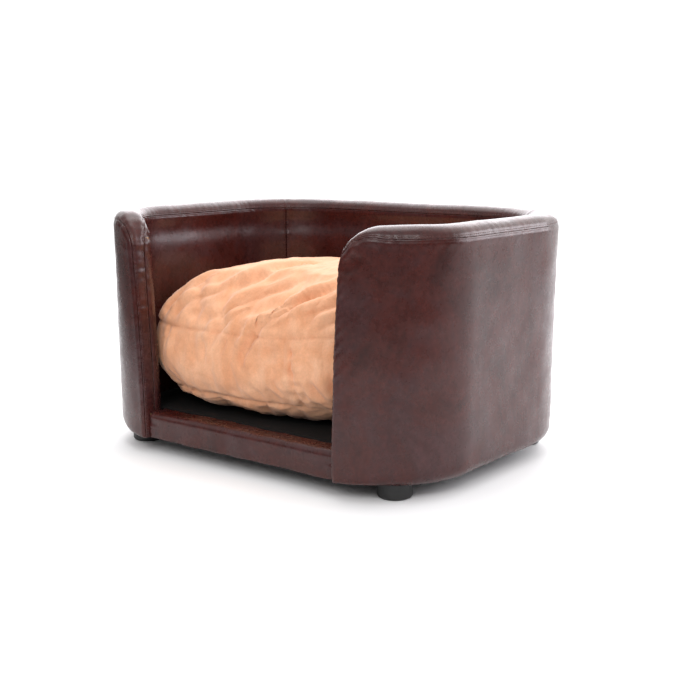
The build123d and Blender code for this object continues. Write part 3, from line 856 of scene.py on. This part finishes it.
def fill_cushion(obj):
    """Blow the cover up over its filling by cloth simulation."""
    start = read_points(obj)
    on_side = edge_share(start) > 0.80
    upper = np.abs(start[:, 2] - CUSHION_UPPER_SEAM - seam_rise(start)) < 0.004
    lower = np.abs(start[:, 2] - CUSHION_LOWER_SEAM) < 0.004
    held = np.where((upper | lower) & on_side, SEAM_HOLD, 0.0)
    held = np.where(start[:, 2] < CUSHION_FLOOR + 0.003, 1.0, held)
    group = obj.vertex_groups.new(name="held")
    for weight in (SEAM_HOLD, 1.0):
        group.add([int(i) for i in np.nonzero(held == weight)[0]], weight, "REPLACE")
    cloth = obj.modifiers.new("fill", "CLOTH")
    settings = cloth.settings
    settings.quality = 5
    settings.mass = 0.25
    settings.air_damping = 2.0
    settings.tension_stiffness = 12
    settings.compression_stiffness = 12
    settings.shear_stiffness = 4
    settings.bending_stiffness = 0.12
    settings.use_pressure = True
    settings.uniform_pressure_force = 3.0
    settings.shrink_min = -0.045
    settings.vertex_group_mass = "held"
    settings.effector_weights.gravity = 0
    cloth.collision_settings.use_self_collision = False
    scene = bpy.context.scene
    scene.frame_start, scene.frame_end = 1, CLOTH_FRAMES
    for step in range(1, CLOTH_FRAMES + 1):
        scene.frame_set(step)
    apply_modifiers(obj)
    scene.frame_set(1)
    moved = read_points(obj) - start
    size = np.linalg.norm(moved, axis=1, keepdims=True)
    write_points(obj, start + moved * np.minimum(1, CLOTH_CAP / (size + 1e-9)))


# Drag folds on the front of the cushion, in millimetres: points along each valley, its depth and width.
# They rise from the top seam and fan out up to the right.
TOP_FOLDS = [
    ([(-86, -219, 170), (-65, -213, 205), (-37, -202, 232), (0, -172, 262)], 5.5, 8),
    ([(-10, -218, 160), (19, -206, 222), (60, -190, 246), (130, -110, 290)], 8.5, 9),
    ([(-22, -212, 205), (10, -207, 220), (50, -188, 246), (105, -130, 282)], 6.5, 9),
    ([(-180, -196, 205), (-149, -184, 248), (-105, -170, 261), (-70, -145, 272)], 4.5, 9),
    ([(-76, -213, 212), (-50, -194, 242), (-10, -155, 267), (50, -105, 286)], 6, 10),
    ([(-90, -168, 260), (-56, -135, 277), (-30, -80, 290), (10, -5, 296)], 6.5, 12),
    ([(10, -211, 208), (66, -200, 234), (120, -180, 257), (180, -130, 285)], 6.5, 9),
    ([(-205, -185, 190), (-185, -175, 235), (-160, -140, 262), (-120, -100, 278)], 4, 9),
    ([(100, -205, 218), (150, -190, 245), (195, -155, 268), (225, -100, 280)], 4.5, 10),
]
# The same kind of folds down the boxing, where the top seam puckers.
BOXING_FOLDS = [
    ([(-90, -216, 200), (-86, -218, 178), (-84, -217, 150)], 4.5, 6),
    ([(-170, -200, 206), (-174, -202, 180), (-176, -200, 140)], 4, 7),
    ([(12, -212, 206), (-4, -216, 178), (-12, -216, 150)], 5.5, 6),
    ([(-36, -214, 202), (-48, -217, 180), (-56, -217, 160)], 3.5, 6),
    ([(30, -212, 205), (24, -215, 185), (20, -215, 165)], 3, 5),
    ([(70, -209, 210), (72, -211, 180), (70, -210, 140)], 3, 5),
    ([(62, -203, 112), (50, -206, 130), (44, -208, 150)], 2.5, 5),
    ([(130, -190, 112), (118, -197, 130), (112, -202, 155)], 5, 8),
    ([(160, -185, 120), (150, -192, 150), (148, -197, 190)], 4, 8),
]


def fold_height(points, folds):
    """Height change from soft folds: each a valley with a rounded ridge beside it."""
    height = np.zeros(len(points))
    for places, depth, width in folds:
        line = resample(np.array(places) * MILLIMETRE, np.linspace(0, 1, 28))
        near = np.linalg.norm(points - line.mean(0), axis=1) < 0.16
        gaps = points[near][:, None] - line[None]
        distance = np.linalg.norm(gaps, axis=-1)
        index = distance.argmin(1)
        ahead = np.gradient(line, axis=0)[index]
        offset = gaps[np.arange(len(index)), index]
        turn = ahead[:, 0] * offset[:, 2] - ahead[:, 2] * offset[:, 0] + ahead[:, 0] * offset[:, 1] * 0.5
        side = np.sign(turn) * distance.min(1) / (width * MILLIMETRE)
        along = index / (len(line) - 1)
        fade = smoothstep(along, -0.02, 0.22) * (1 - smoothstep(along, 0.55, 1.0))
        ridge = 0.80 * bell(side - 1.7, 1.1) + 0.35 * bell(side + 1.8, 1.2)
        height[near] += FOLD_STRENGTH * depth * MILLIMETRE * fade * (ridge - bell(side, 1))
    return height


def shape_cushion(obj):
    """Seams, gathers and folds, after the filling."""
    rest = read_points(obj)
    normals = read_normals(obj)
    side = smoothstep(edge_share(rest), 0.74, 0.86)
    upper = CUSHION_UPPER_SEAM + seam_rise(rest)
    height = fold_height(rest, TOP_FOLDS) + fold_height(rest, BOXING_FOLDS)
    for level, seed in ((upper, 41), (CUSHION_LOWER_SEAM, 42)):
        gap = np.abs(rest[:, 2] - level)
        gathers = ripple(rest[:, :2], 0.030, seed, 12) * np.exp(-gap / 0.018) * smoothstep(gap, 0.0, 0.004)
        height += side * (0.0010 * bell(gap - 0.008, 0.006) + 0.0016 * gathers - 0.0026 * bell(gap, 0.0024))
    top = smoothstep(rest[:, 2] - upper, 0.0, 0.02)
    boxing = side * smoothstep(rest[:, 2], 0.09, 0.11) * (1 - smoothstep(rest[:, 2] - upper, -0.02, 0.0))
    height += top * (0.0014 * ripple(rest, 0.075, 43) + 0.0007 * ripple(rest, 0.030, 44))
    height += boxing * 0.0012 * ripple(rest * np.array([1, 1, 0.35]), 0.045, 45)
    join = np.abs(rest[:, 0] - BOXING_JOIN_X)
    on_front = boxing * (rest[:, 1] < CUSHION_MIDDLE_Y)
    gathers = np.exp(-join / 0.02) * ripple(rest[:, 2:], 0.022, 46)
    height += on_front * (0.0016 * bell(join - 0.008, 0.005) + 0.0016 * gathers - 0.0030 * bell(join, 0.0026))
    write_points(obj, rest + normals * height[:, None])


def seat_cushion(obj):
    """Keep the cushion off the deck, the wall and the zip."""
    points = keep_inside_wall(read_points(obj))
    points[:, 2] = np.maximum(points[:, 2], CUSHION_FLOOR)
    middle = (ZIP_LOW.z + ZIP_HIGH.z) / 2
    near_x = 1 - smoothstep(np.abs(points[:, 0]), ZIP_HIGH.x + 0.006, ZIP_HIGH.x + 0.045)
    near_z = 1 - smoothstep(np.abs(points[:, 2] - middle), 0.014, 0.040)
    near = near_x * near_z * (points[:, 1] > 0.12)
    points[:, 1] = points[:, 1] * (1 - near) + (ZIP_LOW.y - ZIP_CLEARANCE) * near
    write_points(obj, points)


def keep_inside_wall(points, clearance=0.0022):
    """Move points that reach into the padded wall back to just inside it."""
    half_x = HALF_WIDTH - WALL - clearance
    back = BACK_Y - WALL - clearance
    front = FRONT_Y + WALL + clearance
    for radius, y_limit, sign in ((BACK_RADIUS - WALL, back, 1), (FRONT_RADIUS - WALL, front, -1)):
        corner_x = half_x - radius
        corner_y = y_limit - sign * radius
        beyond = (np.abs(points[:, 0]) > corner_x) & (sign * (points[:, 1] - corner_y) > 0)
        offset = np.stack([np.abs(points[:, 0]) - corner_x, points[:, 1] - corner_y], axis=-1)
        size = np.linalg.norm(offset, axis=1)
        scale = np.where(beyond, np.minimum(1, radius / (size + 1e-9)), 1)
        side = np.sign(points[:, 0])
        points[:, 0] = np.where(beyond, side * (corner_x + offset[:, 0] * scale), points[:, 0])
        points[:, 1] = np.where(beyond, corner_y + offset[:, 1] * scale, points[:, 1])
    points[:, 0] = np.clip(points[:, 0], -half_x, half_x)
    points[:, 1] = np.minimum(points[:, 1], back)
    return points


def cushion():
    """The loose cushion's cover, filled, folded and seamed, with its inner case and filling."""
    obj = cushion_base()
    remesh = obj.modifiers.new("even", "REMESH")
    remesh.mode = "VOXEL"
    remesh.voxel_size = 0.0055
    apply_modifiers(obj)
    fill_cushion(obj)
    lining("cushion_case", obj, 0.010, "cushion_inner_case", "case_cloth")
    lining("cushion_fibre", obj, 0.013, "cushion_filling", "filling")
    finer = obj.modifiers.new("finer", "SUBSURF")
    finer.levels = finer.render_levels = 1
    apply_modifiers(obj)
    shape_cushion(obj)
    seat_cushion(obj)
    nodes = ["cushion_top_panel", "cushion_boxing", "cushion_bottom_panel"]
    padded_piece(obj, nodes, "cushion_suede", "cushion")


def lining(name, cover, depth, node, slot):
    """A closed layer inside the cushion's cover."""
    obj = bpy.data.objects.new(name, cover.data.copy())
    bpy.context.collection.objects.link(obj)
    obj.data.name = name
    points = keep_inside_wall(read_points(cover) - read_normals(cover) * depth, 0.010)
    points[:, 2] = np.maximum(points[:, 2], CUSHION_FLOOR + 0.002)
    points[:, 1] = np.minimum(points[:, 1], ZIP_LOW.y - 0.012)
    write_points(obj, points)
    padded_piece(obj, [node], slot, "cushion")


def zip_teeth():
    """The two rows of nylon loops that the zip closes."""
    low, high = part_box("zip_coil")
    middle = (low.z + high.z) / 2
    half = (high.z - low.z) / 2
    girth = (high.y - low.y) / 2
    loops = []
    for number, x in enumerate(np.arange(low.x + TOOTH_PITCH, high.x, TOOTH_PITCH / 2)):
        reach = half if number % 2 else -half
        start = (x, low.y + girth, middle + reach)
        end = (x, low.y + girth, middle - reach / 4)
        loops.append(capsule(start, end, (0, 1, 0), girth * 0.85))
    obj = mesh_object("zip_teeth", *joined(loops))
    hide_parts("zip_coil")
    finish_piece(obj, "zip_nylon", "cushion")


# ---------------------------------------------------------------- materials


class Nodes:
    """Short way to build a node material."""

    def __init__(self, name):
        self.material = bpy.data.materials.new(name)
        self.material.use_nodes = True
        self.tree = self.material.node_tree
        self.tree.nodes.clear()
        self.shader = self.add("ShaderNodeBsdfPrincipled")
        output = self.add("ShaderNodeOutputMaterial")
        self.link(self.shader.outputs[0], output.inputs["Surface"])
        self.place = self.add("ShaderNodeTexCoord").outputs["Object"]

    def add(self, kind, **settings):
        node = self.tree.nodes.new(kind)
        for key, value in settings.items():
            setattr(node, key, value)
        return node

    def link(self, out, into):
        self.tree.links.new(out, into)

    def stretched(self, scale):
        node = self.add("ShaderNodeMapping")
        node.inputs["Scale"].default_value = scale
        self.link(self.place, node.inputs["Vector"])
        return node.outputs[0]

    def noise(self, scale, detail=3.0, rough=0.5, where=None, distortion=0.0):
        node = self.add("ShaderNodeTexNoise")
        node.inputs["Scale"].default_value = scale
        node.inputs["Detail"].default_value = detail
        node.inputs["Roughness"].default_value = rough
        node.inputs["Distortion"].default_value = distortion
        self.link(where or self.place, node.inputs["Vector"])
        return node.outputs["Fac"]

    def cells(self, scale, feature="DISTANCE_TO_EDGE"):
        node = self.add("ShaderNodeTexVoronoi", feature=feature)
        node.inputs["Scale"].default_value = scale
        self.link(self.place, node.inputs["Vector"])
        return node.outputs["Distance"]

    def ramp(self, value, stops):
        node = self.add("ShaderNodeValToRGB")
        elements = node.color_ramp.elements
        while len(elements) < len(stops):
            elements.new(0.5)
        for element, (place, colour) in zip(elements, stops):
            element.position = place
            element.color = (*colour, 1.0)
        self.link(value, node.inputs["Fac"])
        return node.outputs["Color"]

    def spread(self, value, low, high, start=0.0, end=1.0):
        node = self.add("ShaderNodeMapRange")
        node.inputs["From Min"].default_value = start
        node.inputs["From Max"].default_value = end
        node.inputs["To Min"].default_value = low
        node.inputs["To Max"].default_value = high
        self.link(value, node.inputs["Value"])
        return node.outputs[0]

    def feed(self, socket, value):
        """Set a socket to a number or a colour, or link an output to it."""
        if isinstance(value, tuple):
            socket.default_value = (*value, 1.0)
        elif isinstance(value, float):
            socket.default_value = value
        else:
            self.link(value, socket)

    def mix(self, factor, a, b, blend="MIX"):
        node = self.add("ShaderNodeMix", data_type="RGBA", blend_type=blend)
        for number, value in ((0, factor), (6, a), (7, b)):
            self.feed(node.inputs[number], value)
        return node.outputs[2]

    def maths(self, kind, a, b):
        node = self.add("ShaderNodeMath", operation=kind)
        self.feed(node.inputs[0], a)
        self.feed(node.inputs[1], b)
        return node.outputs[0]

    def along(self, direction):
        """How far a point lies along a direction."""
        node = self.add("ShaderNodeVectorMath", operation="DOT_PRODUCT")
        node.inputs[1].default_value = direction
        self.link(self.place, node.inputs[0])
        return node.outputs["Value"]

    def bump(self, height, strength, distance, under=None):
        node = self.add("ShaderNodeBump")
        node.inputs["Strength"].default_value = strength
        node.inputs["Distance"].default_value = distance
        self.link(height, node.inputs["Height"])
        if under is not None:
            self.link(under, node.inputs["Normal"])
        return node.outputs["Normal"]

    def finish(self, colour, roughness, normal=None, **constants):
        self.feed(self.shader.inputs["Base Color"], colour)
        self.feed(self.shader.inputs["Roughness"], roughness)
        if normal is not None:
            self.link(normal, self.shader.inputs["Normal"])
        for name, value in constants.items():
            self.shader.inputs[name.replace("_", " ")].default_value = value
        return self.material


def leather_material():
    """Glossy two-tone faux leather with a fine grain."""
    n = Nodes("faux_leather")
    patches = n.noise(8.0, 6.0, 0.66, distortion=0.8)
    browns = [(0.36, (0.036, 0.0065, 0.0050)), (0.47, (0.056, 0.0115, 0.0090))]
    browns += [(0.56, (0.048, 0.0135, 0.0130)), (0.68, (0.060, 0.0220, 0.0225))]
    colour = n.ramp(patches, browns)
    flecks = n.spread(n.noise(170.0, 5.0, 0.7), 0.72, 1.30, 0.3, 0.7)
    streaks = n.spread(n.noise(30.0, 5.0, 0.72, n.stretched((1.0, 1.0, 0.4))), 0.80, 1.20, 0.3, 0.7)
    colour = n.mix(1.0, colour, grey(n, n.maths("MULTIPLY", flecks, streaks)), "MULTIPLY")
    creases = n.spread(n.cells(520.0), 0.0, 1.0, 0.0, 0.18)
    fine = n.noise(900.0, 3.0, 0.6)
    height = n.maths("ADD", creases, n.maths("MULTIPLY", fine, 0.5))
    soft = n.bump(n.noise(22.0, 2.0, 0.5), 0.5, 0.0016)
    normal = n.bump(height, 0.16, 0.0003, soft)
    rough = n.spread(n.noise(60.0, 5.0, 0.65), 0.20, 0.38, 0.3, 0.7)
    return n.finish(colour, rough, normal, Specular_IOR_Level=0.30, Coat_Weight=0.15, Coat_Roughness=0.14)


def grey(n, value):
    """A colour whose three channels are one value."""
    node = n.add("ShaderNodeCombineColor")
    for socket in node.inputs[:3]:
        n.link(value, socket)
    return node.outputs[0]


def thread_material():
    """Waxed brown sewing thread."""
    n = Nodes("sewing_thread")
    twist = n.noise(2600.0, 2.0, 0.5)
    colour = n.ramp(twist, [(0.3, (0.060, 0.020, 0.016)), (0.7, (0.130, 0.050, 0.040))])
    return n.finish(colour, 0.5, n.bump(twist, 0.4, 0.0001))


def suede_material():
    """Peach faux suede with a brushed nap."""
    n = Nodes("faux_suede")
    brushed = n.noise(16.0, 5.0, 0.62, n.stretched((1.0, 0.45, 0.8)), 1.4)
    peaches = [(0.30, (0.74, 0.345, 0.180)), (0.50, (0.80, 0.410, 0.235)), (0.72, (0.86, 0.490, 0.300))]
    base = n.ramp(brushed, peaches)
    nap = n.spread(n.noise(340.0, 4.0, 0.7), 0.93, 1.07, 0.3, 0.7)
    mottles = n.spread(n.noise(60.0, 4.0, 0.65, n.stretched((1.0, 0.3, 0.5))), 0.93, 1.07, 0.3, 0.7)
    colour = n.mix(1.0, base, grey(n, n.maths("MULTIPLY", nap, mottles)), "MULTIPLY")
    crush = n.bump(n.noise(70.0, 5.0, 0.6, None, 0.8), 0.22, 0.0020)
    normal = n.bump(n.noise(1500.0, 3.0, 0.6), 0.25, 0.0003, crush)
    return n.finish(colour, 0.9, normal, Sheen_Weight=0.25, Sheen_Roughness=0.45, Specular_IOR_Level=0.2)


def black_cloth_material():
    """Black non-woven cloth with a pressed dot pattern."""
    n = Nodes("black_nonwoven")
    fibres = n.noise(420.0, 5.0, 0.7)
    colour = n.ramp(fibres, [(0.3, (0.004, 0.004, 0.004)), (0.7, (0.013, 0.012, 0.012))])
    dots = n.cells(420.0, "F1")
    normal = n.bump(dots, 0.35, 0.0004, n.bump(fibres, 0.3, 0.0003))
    return n.finish(colour, 0.92, normal, Specular_IOR_Level=0.25)


def foot_material():
    """Satin black moulded plastic, faintly textured."""
    n = Nodes("black_plastic")
    spark = n.noise(900.0, 3.0, 0.6)
    colour = n.ramp(n.noise(30.0, 3.0), [(0.35, (0.012, 0.012, 0.012)), (0.65, (0.020, 0.020, 0.019))])
    rough = n.spread(n.noise(120.0, 3.0), 0.42, 0.58, 0.3, 0.7)
    return n.finish(colour, rough, n.bump(spark, 0.15, 0.0002))


def wood_material(name, light, dark, scale):
    """Sawn wood or board: long grain with darker bands."""
    n = Nodes(name)
    bands = n.noise(scale, 6.0, 0.6, n.stretched((1.0, 1.0, 7.0)), 1.0)
    colour = n.ramp(bands, [(0.3, dark), (0.7, light)])
    return n.finish(colour, 0.72, n.bump(bands, 0.25, 0.0006))


def foam_material(name, light, dark, scale):
    """Foam, wadding or fibre: pale and full of small pores."""
    n = Nodes(name)
    pores = n.cells(scale, "F1")
    colour = n.ramp(pores, [(0.1, dark), (0.6, light)])
    return n.finish(colour, 0.95, n.bump(pores, 0.5, 0.0008))


def steel_material(name, light, dark):
    """Plated steel with light scratches."""
    n = Nodes(name)
    scratches = n.noise(300.0, 5.0, 0.7, n.stretched((1.0, 6.0, 1.0)))
    colour = n.ramp(scratches, [(0.3, dark), (0.7, light)])
    rough = n.spread(scratches, 0.28, 0.45, 0.3, 0.7)
    return n.finish(colour, rough, n.bump(scratches, 0.1, 0.0001), Metallic=1.0)


def tape_material():
    """Woven zip tape."""
    n = Nodes("zip_tape_weave")
    warp = n.add("ShaderNodeTexWave", wave_type="BANDS", bands_direction="Z")
    warp.inputs["Scale"].default_value = 420.0
    warp.inputs["Distortion"].default_value = 0.6
    n.link(n.place, warp.inputs["Vector"])
    colour = n.ramp(warp.outputs["Fac"], [(0.2, (0.52, 0.24, 0.12)), (0.8, (0.70, 0.35, 0.19))])
    return n.finish(colour, 0.85, n.bump(warp.outputs["Fac"], 0.4, 0.0002))


def coil_material():
    """Nylon zip coil."""
    n = Nodes("zip_coil_nylon")
    bands = n.noise(700.0, 2.0)
    colour = n.ramp(bands, [(0.3, (0.55, 0.26, 0.14)), (0.7, (0.68, 0.34, 0.19))])
    return n.finish(colour, 0.42, n.bump(bands, 0.2, 0.0001))


thread = thread_material()
SLOT_MATERIALS = {
    "leather": leather_material(),
    "cushion_suede": suede_material(),
    "black_cloth": black_cloth_material(),
    "foot_plastic": foot_material(),
    "zinc_steel": steel_material("zinc_plate", (0.66, 0.66, 0.63), (0.45, 0.45, 0.43)),
    "zip_metal": steel_material("dull_nickel", (0.50, 0.45, 0.39), (0.30, 0.27, 0.23)),
    "zip_tape": tape_material(),
    "zip_nylon": coil_material(),
    "plywood": wood_material("plywood_board", (0.62, 0.42, 0.24), (0.42, 0.25, 0.13), 9.0),
    "pine": wood_material("pine_wood", (0.72, 0.50, 0.28), (0.55, 0.34, 0.17), 12.0),
    "fibreboard": wood_material("brown_fibreboard", (0.26, 0.14, 0.07), (0.18, 0.09, 0.045), 40.0),
    "foam": foam_material("cream_foam", (0.80, 0.72, 0.50), (0.60, 0.52, 0.32), 500.0),
    "wadding": foam_material("white_wadding", (0.85, 0.85, 0.83), (0.70, 0.70, 0.68), 260.0),
    "filling": foam_material("fibre_filling", (0.88, 0.88, 0.86), (0.75, 0.75, 0.73), 180.0),
    "case_cloth": foam_material("case_nonwoven", (0.86, 0.85, 0.82), (0.76, 0.75, 0.72), 700.0),
}


def finish_piece(obj, slot, body, material=None):
    """Material and body of a new piece; the material is its slot's unless one is given."""
    obj.data.materials.clear()
    obj.data.materials.append(material or SLOT_MATERIALS[slot])
    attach(obj, body)


def padded_piece(obj, nodes, slot, body="bed_frame"):
    """Hide the CAD nodes that a padded piece stands for, and give the piece its slot's material and its body."""
    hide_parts(*nodes)
    finish_piece(obj, slot, body)


def paint_cad_nodes():
    """Give every carried-over CAD node its slot's material."""
    slots = {part["node"]: part["material_slot"] for part in frame["record"]["subparts"]}
    for node, obj in frame["nodes"].items():
        material = SLOT_MATERIALS[slots[node]]
        for place in obj.material_slots:
            place.material = material
        if not obj.material_slots:
            obj.data.materials.append(material)


# ---------------------------------------------------------------- stage


def floor():
    """Plain pale floor, greyer far out in front so that the gloss stays deep."""
    steps = np.linspace(-FLOOR_REACH, FLOOR_REACH, 15)
    grid = np.stack(np.meshgrid(steps, steps, [0.0], indexing="ij"), axis=-1)
    obj = mesh_object("floor", grid.reshape(-1, 3), grid_faces(len(steps), len(steps)))
    n = Nodes("pale_floor")
    far_ahead = n.spread(n.along((0.62, -0.77, 0.0)), 0.0, 1.0, 0.87, 1.50)
    far_aside = n.spread(n.along((-0.57, -0.82, 0.0)), 0.0, 1.0, 0.58, 1.05)
    near = n.ramp(n.noise(3.0, 2.0), [(0.4, (0.93, 0.93, 0.93)), (0.6, (0.95, 0.95, 0.95))])
    colour = n.mix(n.maths("MAXIMUM", far_ahead, far_aside), near, (0.16, 0.16, 0.16))
    obj.data.materials.append(n.finish(colour, 0.85, Specular_IOR_Level=0.1))


def link_new(name, data):
    """A new object in the scene, for a light or the camera."""
    obj = bpy.data.objects.new(name, data)
    bpy.context.collection.objects.link(obj)
    return obj


def area_light(name, place, target, size, power, colour=(1, 1, 1), shape=(1.0, 1.0)):
    """A soft box that points at a place."""
    data = bpy.data.lights.new(name, "AREA")
    data.shape = "RECTANGLE"
    data.size, data.size_y = size * shape[0], size * shape[1]
    data.energy = power
    data.color = colour
    obj = link_new(name, data)
    obj.location = place
    obj.rotation_euler = (Vector(target) - Vector(place)).to_track_quat("-Z", "Y").to_euler()


def world():
    """Soft sky, brighter behind the bed than in front of it."""
    sky = bpy.data.worlds.new("studio")
    sky.use_nodes = True
    tree = sky.node_tree
    tree.nodes.clear()
    place = tree.nodes.new("ShaderNodeTexCoord")
    dot = tree.nodes.new("ShaderNodeVectorMath")
    dot.operation = "DOT_PRODUCT"
    dot.inputs[1].default_value = (-0.30, 0.90, 0.35)
    tree.links.new(place.outputs["Generated"], dot.inputs[0])
    ramp = tree.nodes.new("ShaderNodeValToRGB")
    ramp.color_ramp.elements[0].position = 0.35
    ramp.color_ramp.elements[0].color = (0.060, 0.056, 0.062, 1)
    ramp.color_ramp.elements[1].position = 0.84
    ramp.color_ramp.elements[1].color = (1.0, 1.0, 1.0, 1)
    tree.links.new(dot.outputs["Value"], ramp.inputs["Fac"])
    back = tree.nodes.new("ShaderNodeBackground")
    tree.links.new(ramp.outputs["Color"], back.inputs["Color"])
    back.inputs["Strength"].default_value = 1.35
    out = tree.nodes.new("ShaderNodeOutputWorld")
    tree.links.new(back.outputs[0], out.inputs["Surface"])
    bpy.context.scene.world = sky


def lights():
    """Soft studio light from above, with a low fill in front."""
    sun = bpy.data.lights.new("broad_sky", "SUN")
    sun.energy = 2.4
    sun.angle = math.radians(150)
    link_new("broad_sky", sun)
    area_light("back_box", (-1.3, 1.9, 1.5), (0, 0, 0.3), 2.6, 42, COOL_WHITE)
    area_light("top_box", (-0.4, 0.2, 2.0), (0, 0, 0.2), 1.2, 10)
    area_light("front_fill", (1.0, -2.6, 1.9), (0, 0, 0.15), 1.0, 20)
    area_light("rear_side_box", (1.5, 1.6, 0.85), (-0.25, 0, 0.33), 1.6, 22, COOL_WHITE, (1.0, 0.5))
    area_light("corner_box", (1.9, -1.3, 1.9), (0.2, -0.2, 0.3), 0.6, 9)


def camera():
    """Camera at the photograph's viewing angle."""
    data = bpy.data.cameras.new("camera")
    data.sensor_width = SENSOR_WIDTH
    data.lens = CAMERA_LENS
    obj = link_new("camera", data)
    obj.location = CAMERA_PLACE
    obj.rotation_euler = (CAMERA_TILT, 0.0, CAMERA_TURN)
    bpy.context.scene.camera = obj


# ---------------------------------------------------------------- assembly

camera()
world()
lights()
floor()
bpy.context.scene.view_settings.view_transform = "Standard"
paint_cad_nodes()

UNDER_LOW = HEM_Z + HEM_RADIUS[1] * (1 - math.pi / 2) - TURN_UNDER
INNER_LOW = DECK_Z - 0.020
PANEL_ENDS = (0, *CORNER_SEAMS, WALL_LENGTH)
leather_panel(
    "outer_leather", "outer_cover", "outer_wadding_pad", "outer_wadding",
    rim.outer_radius, rim.outer_seam, 0, WALL_LENGTH, UNDER_LOW, False,
)
for place, s_from, s_to in zip(("left", "back", "right"), PANEL_ENDS, PANEL_ENDS[1:]):
    leather_panel(
        f"inner_leather_{place}", f"inner_cover_{place}", f"inner_foam_pad_{place}", f"inner_foam_{place}",
        rim.inner_radius, rim.inner_seam, s_from, s_to, INNER_LOW, True,
    )
gusset()
gusset_stitches()
corner_seam_stitches()
rail()
stretched_cloth("deck_cloth", "deck_fabric", True)
stretched_cloth("dust_cloth", "dust_cover", False)
cushion()
zip_teeth()
